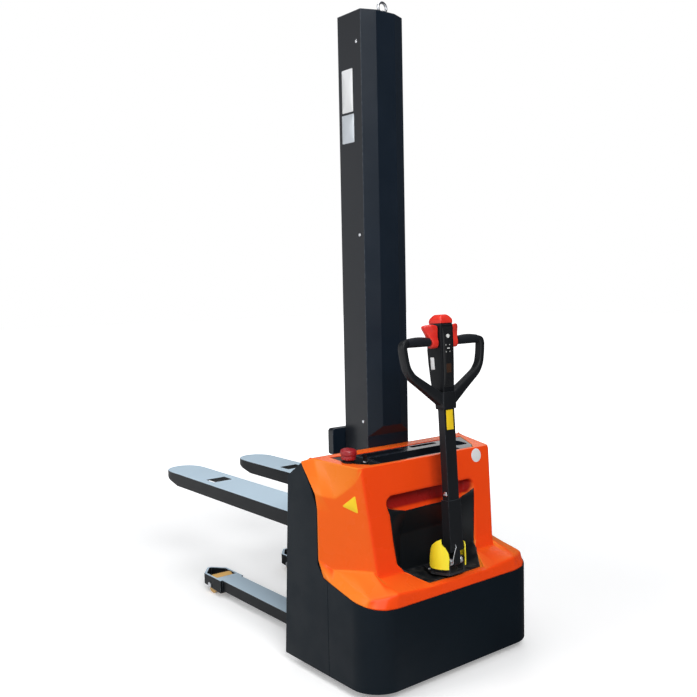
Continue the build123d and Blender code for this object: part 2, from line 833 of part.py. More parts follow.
with BuildPart() as motor_controller:
    block((-325, -215), (232, 345), (deck_top, 300))
    for index in range(8):
        x = -318 + index * 13.2
        block((x, x + 4), (236, 341), (300, 326))
save(motor_controller.part, "motor_controller")

pipe_end_at = cylinder_at - cylinder_radius - 12
with BuildPart() as lift_pipe:
    with BuildLine() as pipe_path:
        FilletPolyline((270, ahead(345), 300), (270, ahead(369), 300), (0, ahead(369), 300),
                       (0, ahead(pipe_end_at), 300), radius=12)
    with BuildSketch(Plane(origin=(270, ahead(345), 300), z_dir=(0, 1, 0))):
        Circle(6)
    sweep()
save(lift_pipe.part, "lift_pipe")

with BuildPart() as steering_bearing:
    bar_z(ring_outer, 0, steer_at, (ring_base, deck_base))
    bar_z(ring_inner, 0, steer_at, (ring_base - 1, deck_base + 1), Mode.SUBTRACT)
save(steering_bearing.part, "steering_bearing")

# Drive unit: yoke under the bearing, motor above it, wheel between the cheeks
cheek_inner = drive_width / 2 + 5
cheek_outer = cheek_inner + 10
yoke_top = deck_base - 4
with BuildPart() as gearbox:
    bar_z(ring_inner - run_gap, 0, steer_at, (ring_base, yoke_top))
    for side in (-1, 1):
        block(sided(side, cheek_inner, cheek_outer), (steer_at - 42, steer_at + 42), (drive_radius, ring_base))
        bar_x(42, sided(side, cheek_inner, cheek_outer), steer_at, drive_radius)
    bar_x(drive_pin + run_gap, (-cheek_outer - 1, cheek_outer + 1), steer_at, drive_radius, Mode.SUBTRACT)
save(gearbox.part, "gearbox")

with BuildPart() as drive_motor:
    bar_z(motor_radius, 0, steer_at, (yoke_top, motor_top))
    fillet(drive_motor.edges().group_by(Axis.Z)[-1], 6)
save(drive_motor.part, "drive_motor")

with BuildPart() as drive_wheel_hub:
    bar_x(drive_pin, (-cheek_outer, cheek_outer), steer_at, drive_radius)
    bar_x(drive_radius - 18, (-drive_width / 2 + 2, drive_width / 2 - 2), steer_at, drive_radius)
save(drive_wheel_hub.part, "drive_wheel_hub")

with BuildPart() as drive_wheel_tyre:
    bar_x(drive_radius, (-drive_width / 2, drive_width / 2), steer_at, drive_radius)
    fillet(drive_wheel_tyre.edges().filter_by(GeomType.CIRCLE), 5)
    bar_x(drive_radius - 18, (-drive_width, drive_width), steer_at, drive_radius, Mode.SUBTRACT)
save(drive_wheel_tyre.part, "drive_wheel_tyre")

# Tiller mount on the motor's neck, with ears for the pivot pin and seats for the two guards
mount_base = floor_height + 10
mount_top = mount_base + 8
ear_outer = ear_inner + ear_thick
mount_points = floor_points(((-66, 78), (-37, 16), (37, 16), (66, 78), (40, 142), (-40, 142)))
mount_plate = outline(Plane.XY.offset(mount_base), mount_points)
with BuildPart() as tiller_mount:
    bar_z(neck_radius, 0, steer_at, (motor_top, mount_base))
    extrude(mount_plate, amount=mount_top - mount_base)
    for side in (-1, 1):
        block(sided(side, ear_inner, ear_outer), (pivot_at - 13, pivot_at + 13), (mount_top - 1, pivot_height))
        bar_x(13, sided(side, ear_inner, ear_outer), pivot_at, pivot_height)
    block((-ear_outer, ear_outer), (0, 16), (mount_base - 5, pivot_height + 30), Mode.SUBTRACT)
    bar_x(pin_radius + 0.02, (-60, 60), pivot_at, pivot_height, Mode.SUBTRACT)
save(tiller_mount.part, "tiller_mount")

with BuildPart() as tiller_pin:
    bar_x(pin_radius, (-ear_outer, ear_outer), pivot_at, pivot_height)
    bar_x(10.5, (-ear_outer - 3, -ear_outer), pivot_at, pivot_height)
    bar_x(10.5, (ear_outer, ear_outer + 3), pivot_at, pivot_height)
save(tiller_pin.part, "tiller_pin")


# Guards: upright shields set at an angle either side of the pivot
def guard(side):
    front = Vector(side * 62, ahead(74), 0)
    rear = Vector(side * 46, ahead(22), 0)
    along = (rear - front).normalized()
    out = along.cross(Vector(0, 0, 1)) * side
    shield = Plane(origin=(front.X, front.Y, mount_top), x_dir=along, z_dir=out * -1)
    rise = 1 if shield.y_dir.Z > 0 else -1
    run = (rear - front).length
    with BuildPart() as plate:
        with BuildSketch(shield):
            with BuildLine():
                Polyline((0, 0), (run, 0), (run, rise * 46))
                Spline((run, rise * 46), (run * 0.82, rise * 78), (run * 0.5, rise * 95))
                Polyline((run * 0.5, rise * 95), (run * 0.42, rise * 104), (0, rise * 70), (0, 0))
            make_face()
        extrude(amount=4, both=False)
    return plate.part


save(guard(-1), "guard_left")
save(guard(1), "guard_right")

# Tiller parts stand on a plane that leans with the arm
tiller_plane = Plane(
    origin=(0, ahead(pivot_at), pivot_height),
    x_dir=(1, 0, 0),
    z_dir=(0, sin(radians(tiller_lean)), cos(radians(tiller_lean))),
)


def at_height(height):
    return tiller_plane.offset(height)


fit_gap = 0.1
with BuildPart() as tiller_socket:
    with BuildSketch(at_height(36)):
        Rectangle(2 * socket_half, 2 * socket_deep)
    extrude(amount=socket_top - 36)
    fillet(tiller_socket.edges().filter_by(Axis.X), 3)
    with BuildSketch(at_height(0)):
        Rectangle(26, 2 * socket_deep)
    extrude(amount=40)
    bar_x(socket_deep, (-13, 13), pivot_at, pivot_height)
    with BuildSketch(at_height(arm_foot)):
        Rectangle(2 * (arm_half + fit_gap), 2 * (arm_deep + fit_gap))
    extrude(amount=socket_top, mode=Mode.SUBTRACT)
    bar_x(pin_radius + run_gap, (-40, 40), pivot_at, pivot_height, Mode.SUBTRACT)
save(tiller_socket.part, "tiller_socket")

with BuildPart() as return_spring:
    for side in (-1, 1):
        for index in range(4):
            near = 13.5 + index * 4.4
            bar_x(14, sided(side, near, near + 3.6), pivot_at, pivot_height)
        bar_x(12, sided(side, 13.2, 31), pivot_at, pivot_height)
    bar_x(pin_radius + side_gap, (-40, 40), pivot_at, pivot_height, Mode.SUBTRACT)
save(return_spring.part, "return_spring")

with BuildPart() as tiller_arm:
    with BuildSketch(at_height(arm_foot)):
        Rectangle(2 * arm_half, 2 * arm_deep)
        Rectangle(2 * (arm_half - arm_wall), 2 * (arm_deep - arm_wall), mode=Mode.SUBTRACT)
    extrude(amount=arm_top - arm_foot)
save(tiller_arm.part, "tiller_arm")

# Handle frame: collar on the arm and a bowed loop to either side
with BuildPart() as handle_frame:
    with BuildSketch(at_height(collar_base)):
        Rectangle(62, 44)
    extrude(amount=collar_top - collar_base)
    fillet(handle_frame.edges(), 4)
    for side in (-1, 1):
        with BuildLine(Plane(origin=tiller_plane.origin, x_dir=(1, 0, 0), z_dir=tiller_plane.y_dir * -1)):
            FilletPolyline((side * 70, bar_height), (side * bar_reach, bar_height),
                           (side * loop_reach, loop_low), (side * 30, collar_top - 20), radius=24)
        with BuildSketch(Plane(origin=at_height(bar_height).origin + Vector(side * 70, 0, 0),
                               z_dir=(side, 0, 0))):
            Circle(bar_radius)
        sweep()
        with BuildSketch(Plane(origin=at_height(bar_height).origin + Vector(side * head_half, 0, 0),
                               z_dir=(side, 0, 0))):
            Circle(bar_core)
        extrude(amount=72 - head_half)
    with BuildSketch(at_height(collar_base - 1)):
        Rectangle(2 * (arm_half + fit_gap), 2 * (arm_deep + fit_gap))
    extrude(amount=arm_top - collar_base + 1, mode=Mode.SUBTRACT)
save(handle_frame.part, "handle_frame")

# Control head on the collar
horn_height = 782.0
rocker_height = 740.0
with BuildPart() as head_shell:
    with BuildSketch(at_height(collar_top)):
        with Locations((0, 3)):
            RectangleRounded(2 * head_half - 8, 48, 6)
    with BuildSketch(at_height(720)):
        with Locations((0, 6)):
            RectangleRounded(2 * head_half, 60, 6)
    with BuildSketch(at_height(head_top)):
        with Locations((0, 4)):
            RectangleRounded(2 * head_half, 60, 6)
    loft(ruled=True)
    with BuildSketch(at_height(head_top - 12)):
        with Locations((0, 4)):
            Rectangle(46.6, 46.6)
    extrude(amount=20, mode=Mode.SUBTRACT)
    with BuildSketch(Plane(origin=at_height(horn_height).origin, x_dir=(1, 0, 0), z_dir=tiller_plane.y_dir)
                     .offset(-40)):
        Circle(7 + run_gap)
        with Locations((0, horn_height - rocker_height)):
            Rectangle(24.6, 14.6)
    extrude(amount=28, mode=Mode.SUBTRACT)
save(head_shell.part, "head_shell")

with BuildPart() as belly_button:
    with BuildSketch(at_height(head_top - 12 + cap_travel + 0.5)):
        with Locations((0, 4)):
            Rectangle(46, 46)
    extrude(amount=14)
    with BuildSketch(at_height(head_top + cap_travel + 0.5)):
        with Locations((0, 4)):
            RectangleRounded(2 * head_half - 2, 60, 10)
    extrude(amount=26)
    fillet(belly_button.edges().group_by(Axis.Z)[-1], 6)
save(belly_button.part, "belly_button")

horn_plane = Plane(origin=at_height(horn_height).origin, x_dir=(1, 0, 0), z_dir=tiller_plane.y_dir)
with BuildPart() as horn_button:
    with BuildSketch(horn_plane.offset(-30)):
        Circle(7)
    extrude(amount=14)
save(horn_button.part, "horn_button")

rocker_plane = Plane(origin=at_height(rocker_height).origin, x_dir=(1, 0, 0), z_dir=tiller_plane.y_dir)
with BuildPart() as lift_rocker:
    with BuildSketch(rocker_plane.offset(-29)):
        Rectangle(24, 13)
    extrude(amount=10)
save(lift_rocker.part, "lift_rocker")


# Throttle paddles turn on the bar core beside the head
def throttle(side):
    bar_plane = Plane(origin=at_height(bar_height).origin + Vector(side * (head_half + 2), 0, 0),
                      x_dir=(0, 1, 0), z_dir=(side, 0, 0))
    with BuildPart() as paddle:
        with BuildSketch(bar_plane):
            Circle(17)
            with Locations((6, side * 26)):
                RectangleRounded(22, 62, 8)
            with Locations((-2, side * -13)):
                RectangleRounded(18, 30, 7)
            Circle(bar_core + side_gap, mode=Mode.SUBTRACT)
        extrude(amount=36)
        with BuildSketch(bar_plane):
            with Locations((8, side * 42)):
                RectangleRounded(18, 30, 6)
        extrude(amount=54)
    return paddle.part


save(throttle(-1), "throttle_left")
save(throttle(1), "throttle_right")


# Castors: a swivel fork on a kingpin, trailing its wheel behind it
def castor_fork(side):
    mid = side * castor_x
    arm_inner = castor_width / 2 + 2
    arm_outer = arm_inner + 6
    axle_at = castor_at - castor_trail
    with BuildPart() as fork_body:
        bar_z(king_radius, mid, castor_at, (castor_top - 6, castor_top + 30))
        bar_z(30, mid, castor_at, (castor_top - 14, castor_top - side_gap))
        block((mid - arm_outer, mid + arm_outer), (axle_at - 16, castor_at + 26), (castor_top - 22, castor_top - 10))
        for x in (mid - arm_outer, mid + arm_inner):
            block((x, x + 6), (axle_at - 16, axle_at + 16), (castor_radius, castor_top - 12))
            bar_x(16, (x, x + 6), axle_at, castor_radius)
        bar_x(castor_pin, (mid - arm_outer - 3, mid + arm_outer + 3), axle_at, castor_radius)
    return fork_body.part


def castor_wheel(side):
    mid = side * castor_x
    axle_at = castor_at - castor_trail
    with BuildPart() as wheel:
        bar_x(castor_radius, (mid - castor_width / 2, mid + castor_width / 2), axle_at, castor_radius)
        fillet(wheel.edges().filter_by(GeomType.CIRCLE), 4)
        bar_x(castor_pin + run_gap, (mid - castor_width, mid + castor_width), axle_at, castor_radius, Mode.SUBTRACT)
    return wheel.part


save(castor_fork(-1), "castor_fork_left")
save(castor_fork(1), "castor_fork_right")
save(castor_wheel(-1), "castor_wheel_left")
save(castor_wheel(1), "castor_wheel_right")
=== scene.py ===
import json
import math
import bmesh
import bpy
import numpy as np
from mathutils import Matrix, Vector

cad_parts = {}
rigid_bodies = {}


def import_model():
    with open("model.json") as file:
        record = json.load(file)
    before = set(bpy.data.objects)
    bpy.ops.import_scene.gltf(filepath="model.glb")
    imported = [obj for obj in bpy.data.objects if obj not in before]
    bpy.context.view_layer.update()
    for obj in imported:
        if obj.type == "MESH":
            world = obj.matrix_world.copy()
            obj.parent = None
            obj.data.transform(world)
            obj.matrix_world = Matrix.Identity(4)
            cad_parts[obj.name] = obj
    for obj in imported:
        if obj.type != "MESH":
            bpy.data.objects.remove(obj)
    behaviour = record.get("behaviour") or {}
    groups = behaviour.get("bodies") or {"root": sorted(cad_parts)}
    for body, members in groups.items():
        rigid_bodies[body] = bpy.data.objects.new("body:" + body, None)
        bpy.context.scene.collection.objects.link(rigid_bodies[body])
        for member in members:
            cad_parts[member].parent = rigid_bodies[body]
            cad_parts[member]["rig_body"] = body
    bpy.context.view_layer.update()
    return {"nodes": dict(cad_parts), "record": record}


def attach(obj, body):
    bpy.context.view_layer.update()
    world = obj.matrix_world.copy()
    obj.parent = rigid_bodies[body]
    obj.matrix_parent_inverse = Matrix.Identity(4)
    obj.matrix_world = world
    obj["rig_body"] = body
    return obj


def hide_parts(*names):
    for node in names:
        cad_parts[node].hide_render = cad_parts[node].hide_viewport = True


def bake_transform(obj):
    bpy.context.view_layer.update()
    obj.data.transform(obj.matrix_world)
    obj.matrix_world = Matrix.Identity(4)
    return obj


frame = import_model()
nodes = frame["nodes"]
print("frame loaded with", len(nodes), "nodes")

# Places: millimetres from the middle, ahead of the skirt's rear face and above the floor
mm = 0.001
rearShift = 853.5


def place(x, ahead, up):
    return np.stack(np.broadcast_arrays(x, ahead - rearShift, up), axis=-1) * mm


# the same for a grid whose last axis holds the three measures
def placeGrid(grid):
    return place(*np.moveaxis(grid, -1, 0))


tillerAxis = {"ahead": 31.0, "up": 395.0, "lean": math.radians(3.35)}


# a point h along the leaning tiller and d ahead of its middle
def onTiller(x, h, d):
    s, c = math.sin(tillerAxis["lean"]), math.cos(tillerAxis["lean"])
    return place(x, tillerAxis["ahead"] + h * s + d * c, tillerAxis["up"] + h * c - d * s)


hoodTop = {"ahead": 215.0, "up": 749.29, "slope": 0.07}


# a point of the hood's sloping top: y forward along it, n square to it
def onTop(x, y, n):
    c = 1 / math.hypot(1, hoodTop["slope"])
    s = hoodTop["slope"] * c
    return place(x, hoodTop["ahead"] + y * c - n * s, hoodTop["up"] + y * s + n * c)


# Mesh tools: four-sided faces of a grid, closed across its columns (ring) or its rows (loop)
def gridFaces(rows, cols, ring=False, loop=False):
    i, j = np.indices((rows if loop else rows - 1, cols if ring else cols - 1))
    below, beside = (i + 1) % rows, (j + 1) % cols
    corners = [i * cols + j, i * cols + beside, below * cols + beside, below * cols + j]
    return np.stack(corners, -1).reshape(-1, 4)


# rings of a closed profile, row after row, closed at both ends by a fan round the middle
def tube(grid, loop=False):
    rows, cols = grid.shape[:2]
    points, faces = grid.reshape(-1, 3), gridFaces(rows, cols, True, loop).tolist()
    if loop:
        return points, faces
    j = np.arange(cols)
    k = (j + 1) % cols
    count, end = rows * cols, (rows - 1) * cols
    points = np.vstack([points, grid[0].mean(0), grid[-1].mean(0)])
    for fan in ((k, j, count), (end + j, end + k, count + 1)):
        faces += np.stack(np.broadcast_arrays(*fan), -1).tolist()
    return points, faces


def sheet(grid):
    return grid.reshape(-1, 3), gridFaces(*grid.shape[:2]).tolist()


def makeMesh(name, shapes, outward=True):
    points, faces, count = [], [], 0
    for somePoints, someFaces in shapes:
        points.append(somePoints)
        faces += [[index + count for index in face] for face in someFaces]
        count += len(somePoints)
    mesh = bpy.data.meshes.new(name)
    mesh.from_pydata(np.vstack(points).tolist(), [], faces)
    if outward:
        work = bmesh.new()
        work.from_mesh(mesh)
        bmesh.ops.recalc_face_normals(work, faces=work.faces)
        work.to_mesh(mesh)
        work.free()
    mesh.update()
    return mesh


def addObject(name, data):
    thing = bpy.data.objects.new(name, data)
    bpy.context.scene.collection.objects.link(thing)
    return thing


edgeRound = {"segments": 2, "angle": 32}


# a piece's object, with its look (its slot's, unless another is named), wall and rounded edges in mm
def finishPiece(name, mesh, body, slot, stands=(), look=None, angle=40, wall=0, even=True, bevel=0):
    piece = addObject(name, mesh)
    mesh.materials.append(looks[look or slot])
    mesh.polygons.foreach_set("use_smooth", np.ones(len(mesh.polygons), bool))
    mesh.set_sharp_from_angle(angle=math.radians(angle))
    if wall:
        solid = piece.modifiers.new("wall", "SOLIDIFY")
        solid.thickness, solid.offset, solid.use_even_offset = wall * mm, -1, even
    if bevel:
        edge = piece.modifiers.new("edge", "BEVEL")
        edge.width, edge.segments, edge.limit_method = bevel * mm, edgeRound["segments"], "ANGLE"
        edge.angle_limit, edge.harden_normals = math.radians(min(edgeRound["angle"], angle)), True
    if body:
        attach(piece, body)
    if stands:
        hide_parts(*stands)
    return piece


def makePiece(name, shapes, body, slot, stands=(), outward=True, **finish):
    return finishPiece(name, makeMesh(name, shapes, outward), body, slot, stands, **finish)


merge = {"distance": 2e-5, "flat": math.radians(0.6)}


# a merged copy of a node's triangles, its flat faces joined, so that a bevel can round its edges
def softCopy(node, name, slot, bevel, look=None, angle=40, shape=None):
    work = bmesh.new()
    work.from_mesh(nodes[node].data)
    bmesh.ops.remove_doubles(work, verts=work.verts, dist=merge["distance"])
    bmesh.ops.dissolve_limit(work, angle_limit=merge["flat"], verts=work.verts, edges=work.edges)
    work.verts.index_update()
    points = np.array([v.co[:] for v in work.verts])
    faces = [[v.index for v in f.verts] for f in work.faces]
    work.free()
    mesh = bpy.data.meshes.new(name)
    mesh.from_pydata((shape(points) if shape else points).tolist(), [], faces)
    mesh.update()
    return finishPiece(name, mesh, nodes[node]["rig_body"], slot, (node,), look, angle, bevel=bevel)


# Profiles and paths
def fullTurn(count):
    return np.linspace(0, 2 * np.pi, count, endpoint=False)


def unit(vectors):
    return vectors / np.linalg.norm(vectors, axis=-1, keepdims=True)


# a circle or ellipse, squarer as the power grows
def ellipsePoints(halfX=1.0, halfY=1.0, power=2.0, count=32):
    turn = fullTurn(count)
    wave = np.stack([np.cos(turn), np.sin(turn)], -1)
    return np.sign(wave) * np.abs(wave) ** (2 / power) * [halfX, halfY]


# a rectangle from low to high corner whose corners are quarter circles
def roundedRect(low, high, radius, count=6):
    turn = np.linspace(0, np.pi / 2, count)
    arc = np.stack([np.cos(turn), np.sin(turn)], -1) * radius
    (left, near), (right, far) = np.add(low, radius), np.subtract(high, radius)
    parts = []
    for k, corner in enumerate(((right, far), (left, far), (left, near), (right, near))):
        s, c = math.sin(k * np.pi / 2), math.cos(k * np.pi / 2)
        parts.append(arc @ np.array([[c, s], [-s, c]]) + corner)
    return np.vstack(parts)


edgeTurns = (0.5, 1.0, 1.57)


# a plate from a flat outline: its side wall, a small rounded edge and a closed face;
# onto(x, y, n) places it
def slab(outline, size, onto):
    thick, edge = size["thick"], size["edge"]
    centre = outline.mean(0)
    reach = np.abs(outline - centre).max()
    rows = [(1.0, -size.get("sink", 0.0)), (1.0, thick - edge)]
    for turn in edgeTurns:
        scale = 1 - edge * (1 - math.cos(turn)) / reach
        rows.append((scale, thick - edge * (1 - math.sin(turn))))
    return tube(np.stack([onto(*(centre + (outline - centre) * scale).T, n) for scale, n in rows]))


# a slab whose outline is a rounded rectangle
def plate(size, onto):
    return slab(roundedRect(size["low"], size["high"], size["corner"]), size, onto)


# a turned shape: rows of radius and height swept round an axis, placed by onto(x, y, n)
def turned(size, onto, centre=(0, 0)):
    ring = ellipsePoints(count=size["count"])
    radius, height = (np.array(size[key], float)[:, None] for key in ("radii", "heights"))
    return tube(onto(centre[0] + radius * ring[:, 0], centre[1] + radius * ring[:, 1], height))


# rounded sections up the tiller: height, half width, rear, front and corner radius of each
def sectionLoft(sections):
    rows = []
    for h, half, rear, front, radius in sections:
        ring = roundedRect((-half, rear), (half, front), radius)
        rows.append(onTiller(ring[:, 0], h, ring[:, 1]))
    return tube(np.stack(rows))


# points of a bent line at even steps, its corners eased by repeated averaging
def easedPath(corners, step, passes):
    corners = np.asarray(corners, float)
    run = np.concatenate([[0], np.cumsum(np.linalg.norm(np.diff(corners, axis=0), axis=1))])
    at = np.linspace(0, run[-1], int(run[-1] / step) + 1)
    line = np.stack([np.interp(at, run, corners[:, k]) for k in range(corners.shape[1])], -1)
    for _ in range(passes):
        line[1:-1] = (line[:-2] + 2 * line[1:-1] + line[2:]) / 4
    return line


# a wire along a path: a ring in the plane of out and of its cross with the way along the path
def wireGrid(path, out, radius, count):
    ring = ellipsePoints(radius, radius, count=count)
    beside = np.cross(unit(np.gradient(path, axis=0)), out)
    return path[:, None] + out[:, None] * ring[:, :1] + beside[:, None] * ring[:, 1:]


fill = {"even": 0.35, "eased": 0.325}


# a cage of corner points filled in by straight lines, along rows and then along columns;
# the steps shrink near its lines
def fillCage(cage, rowCounts, colCounts):
    def fillRows(block, counts):
        parts = []
        for k, n in enumerate(counts):
            even = np.arange(n) / n
            step = fill["even"] * even + fill["eased"] * (1 - np.cos(np.pi * even))
            parts.append(block[k] + (block[k + 1] - block[k]) * step[:, None, None])
        return np.vstack(parts + [block[-1:]])
    wide = fillRows(np.swapaxes(cage, 0, 1), colCounts)
    return fillRows(np.swapaxes(wide, 0, 1), rowCounts)


# each inner point moves to the mean of its neighbours along both ways; the rim stays
def easeGrid(grid, passes):
    for _ in range(passes):
        grid[:, 1:-1] = (grid[:, :-2] + 2 * grid[:, 1:-1] + grid[:, 2:]) / 4
        grid[1:-1] = (grid[:-2] + 2 * grid[1:-1] + grid[2:]) / 4
    return grid


# Shader tools: a socket is linked, any other value is set
def feed(socket, value):
    if isinstance(value, bpy.types.NodeSocket):
        socket.id_data.links.new(value, socket)
    else:
        socket.default_value = value


def addNode(tree, kind, **settings):
    node = tree.nodes.new("ShaderNode" + kind)
    for key, value in settings.items():
        setattr(node, key, value)
    return node


# a node of kind Math or VectorMath
def calc(operation, *values, kind="Math", out=0):
    node = addNode(values[0].id_data, kind, operation=operation)
    for socket, value in zip(node.inputs, values):
        feed(socket, value)
    return node.outputs[out]


def mapRange(source, *ends):
    node = addNode(source.id_data, "MapRange", interpolation_type="SMOOTHSTEP")
    for socket, value in zip(node.inputs, (source, *ends)):
        feed(socket, value)
    return node.outputs["Result"]


def axesOf(source):
    node = addNode(source.id_data, "SeparateXYZ")
    feed(node.inputs[0], source)
    return node.outputs


def normalOf(tree):
    return addNode(tree, "NewGeometry").outputs["Normal"]


def pointOf(tree):
    return addNode(tree, "TexCoord").outputs["Object"]


def noise(tree, scale, detail, stretch=None):
    where = pointOf(tree)
    if stretch:
        mapping = addNode(tree, "Mapping")
        feed(mapping.inputs["Vector"], where)
        feed(mapping.inputs["Scale"], stretch)
        where = mapping.outputs["Vector"]
    node = addNode(tree, "TexNoise")
    for label, value in (("Vector", where), ("Scale", scale), ("Detail", detail)):
        feed(node.inputs[label], value)
    return node.outputs["Fac"]


def mixColor(factor, first, second):
    node = addNode(factor.id_data, "Mix", data_type="RGBA")
    colors = [socket for socket in node.inputs if socket.type == "RGBA"]
    for socket, value in zip((node.inputs[0], *colors), (factor, first, second)):
        feed(socket, value)
    return [socket for socket in node.outputs if socket.type == "RGBA"][0]


# a group with named inputs, given as their usual values, and one named output
def makeGroup(name, out, **ins):
    tree = bpy.data.node_groups.new(name, "ShaderNodeTree")
    kinds = {True: "NodeSocketColor", False: "NodeSocketFloat"}
    for label, value in ins.items():
        kind = kinds[isinstance(value, tuple)]
        tree.interface.new_socket(label, in_out="INPUT", socket_type=kind).default_value = value
    tree.interface.new_socket(out, in_out="OUTPUT", socket_type=kinds[out == "Color"])
    given = tree.nodes.new("NodeGroupInput").outputs
    return tree, given, tree.nodes.new("NodeGroupOutput").inputs[out]


def grey(level):
    return (level, level, level, 1.0)


# where each mask sets in and where it is full
cuts = {"cloud": (0.35, 0.68), "gloss": (0.3, 0.7), "streak": (0.66, 0.74), "patch": (0.45, 0.7),
        "upward": (0.5, 0.95), "speck": (0.35, 0.75), "parting": (0.985, 0.86), "broken": (0.4, 0.7),
        # side sets in the painted side light, flat the painted top reflection
        "side": (0.2, 0.8), "flat": (0.9, 0.99)}

# broad soft clouds of a second shade
cloudGroup, given, put = makeGroup("paintCloud", "Color", Color=grey(1), Tint=grey(1), Amount=0.5,
                                   Scale=4.0)
cloudMask = mapRange(noise(cloudGroup, given["Scale"], 3.0), *cuts["cloud"], 0.0, given["Amount"])
feed(put, mixColor(cloudMask, given["Color"], given["Tint"]))

# patchy gloss between two roughnesses
glossGroup, given, put = makeGroup("glossPatch", "Roughness", Low=0.3, High=0.5, Scale=9.0)
glossNoise = noise(glossGroup, given["Scale"], 4.0)
feed(put, mapRange(glossNoise, *cuts["gloss"], given["Low"], given["High"]))

# fine grain of moulded plastic or orange peel of paint
grainGroup, given, put = makeGroup("fineGrain", "Height", Scale=600.0)
feed(put, noise(grainGroup, given["Scale"], 1.5))

# thin scratches: the peaks of a stretched noise, in patches of a broad one
scuffGroup, given, put = makeGroup("scuffMarks", "Mask", Scale=40.0, Amount=0.3)
streak = mapRange(noise(scuffGroup, given["Scale"], 3.0, (0.14, 1.0, 1.3)), *cuts["streak"])
patch = mapRange(noise(scuffGroup, 5.0, 2.0), *cuts["patch"], 0.0, given["Amount"])
feed(put, calc("MULTIPLY", streak, patch))

# dust that lies on faces that look up
dustGroup, given, put = makeGroup("settledDust", "Mask", Amount=0.2, Scale=35.0)
upward = mapRange(axesOf(normalOf(dustGroup))["Z"], *cuts["upward"])
speck = mapRange(noise(dustGroup, given["Scale"], 6.0), *cuts["speck"], 0.0, given["Amount"])
feed(put, calc("MULTIPLY", upward, speck))

# paler edges where a rounded-off normal parts from the true one: a painted highlight along the edges, in
# part rubbed paint
wearAndHighlightGroup, given, put = makeGroup("edgeRub", "Mask", Amount=0.3, Radius=0.003)
rounded = addNode(wearAndHighlightGroup, "Bevel", samples=4)
feed(rounded.inputs["Radius"], given["Radius"])
parting = calc("DOT_PRODUCT", rounded.outputs["Normal"], normalOf(wearAndHighlightGroup), kind="VectorMath",
               out="Value")
broken = mapRange(noise(wearAndHighlightGroup, 60.0, 4.0), *cuts["broken"], 0.25, 1.0)
feed(put, calc("MULTIPLY", mapRange(parting, *cuts["parting"], 0.0, given["Amount"]), broken))

# painted light: a lighter colour on faces that look to either side and up, standing in for the light that
# falls on them
paintedSideLightGroup, given, put = makeGroup("sideShade", "Mask", Amount=1.0)
axes = axesOf(normalOf(paintedSideLightGroup))
folded = addNode(paintedSideLightGroup, "CombineXYZ")
for axis, source in (("X", calc("ABSOLUTE", axes["X"])), ("Y", axes["Y"]), ("Z", axes["Z"])):
    feed(folded.inputs[axis], source)
sideward = calc("DOT_PRODUCT", folded.outputs[0], (0.8, 0.35, 0.5), kind="VectorMath", out="Value")
feed(put, mapRange(sideward, *cuts["side"], 0.0, given["Amount"]))

# painted reflection: a paler colour on faces that lie flat, standing in for the bright surroundings they
# mirror
paintedTopReflectionGroup, given, put = makeGroup("topShade", "Mask", Amount=1.0)
feed(put, mapRange(axesOf(normalOf(paintedTopReflectionGroup))["Z"], *cuts["flat"], 0.0, given["Amount"]))

# painted shade: a darker colour inside the hood's recess, where its lip shades it; in metres: under its
# lip, between its ends, above its ledge and behind its rim
recessShade = {"lip": (0.640, 0.650), "end": (0.216, 0.226), "ledge": (0.579, 0.588), "onLedge": 0.15,
               "rim": (-0.7140, -0.698)}
paintedRecessShadeGroup, given, put = makeGroup("deepShade", "Mask", Amount=1.0)
at = axesOf(pointOf(paintedRecessShadeGroup))
recessShadeMask = mapRange(at["Z"], *recessShade["lip"], given["Amount"], 0.0)
for part in (mapRange(calc("ABSOLUTE", at["X"]), *recessShade["end"], 1.0, 0.0),
             mapRange(at["Z"], *recessShade["ledge"], recessShade["onLedge"], 1.0),
             mapRange(at["Y"], *recessShade["rim"])):
    recessShadeMask = calc("MULTIPLY", recessShadeMask, part)
feed(put, recessShadeMask)
print("shader groups made")


# screen colours from 0 to 255 made linear
def linear(*color):
    value = np.array(color) / 255.0
    value = np.where(value <= 0.04045, value / 12.92, ((value + 0.055) / 1.055) ** 2.4)
    return (*value.tolist(), 1.0)


dustColor = (170, 165, 155)


# a finish: base colour with clouds, patchy gloss and grain; over the colour lie painted light on side
# faces, a painted reflection on flat tops, paler edges (painted highlight, in part rubbed paint), scuffs,
# dust and painted shade in the recess, each given as an amount and a colour
def makeFinish(name, color, tint, gloss, grain, depth, cloud=0.5, cloudScale=4.0, metal=0.0, specular=0.5,
               coat=0.0, coatRough=0.1, rubAndHighlightRadius=0.003, scuffScale=40.0, dust=0.0, **marks):
    look = bpy.data.materials.new(name)
    look.use_nodes = True
    look.diffuse_color = linear(*color)
    tree = look.node_tree

    def use(group, **values):
        node = addNode(tree, "Group", node_tree=group)
        for key, value in values.items():
            node.inputs[key].default_value = value
        return node.outputs[0]

    shade = use(cloudGroup, Color=linear(*color), Tint=linear(*tint), Amount=cloud, Scale=cloudScale)
    if dust:
        marks["dust"] = (dust, dustColor)
    # of the marks, side is painted light, top a painted reflection, the edge mark a painted highlight and
    # deep painted shade
    for mark, group, values in (
            ("side", paintedSideLightGroup, {}), ("top", paintedTopReflectionGroup, {}), ("rub", wearAndHighlightGroup, {"Radius": rubAndHighlightRadius}),
            ("scuff", scuffGroup, {"Scale": scuffScale}), ("dust", dustGroup, {}), ("deep", paintedRecessShadeGroup, {})):
        if mark in marks:
            amount, markColor = marks[mark]
            shade = mixColor(use(group, Amount=amount, **values), shade, linear(*markColor))
    bump = addNode(tree, "Bump")
    bump.inputs["Distance"].default_value = depth
    bump.inputs["Strength"].default_value = 1.0
    feed(bump.inputs["Height"], use(grainGroup, Scale=grain))
    shader = tree.nodes["Principled BSDF"]
    for label, value in (
            ("Base Color", shade), ("Roughness", use(glossGroup, Low=gloss[0], High=gloss[1])),
            ("Normal", bump.outputs["Normal"]), ("Metallic", metal), ("Specular IOR Level", specular),
            ("Coat Weight", coat), ("Coat Roughness", coatRough)):
        feed(shader.inputs[label], value)
    return look


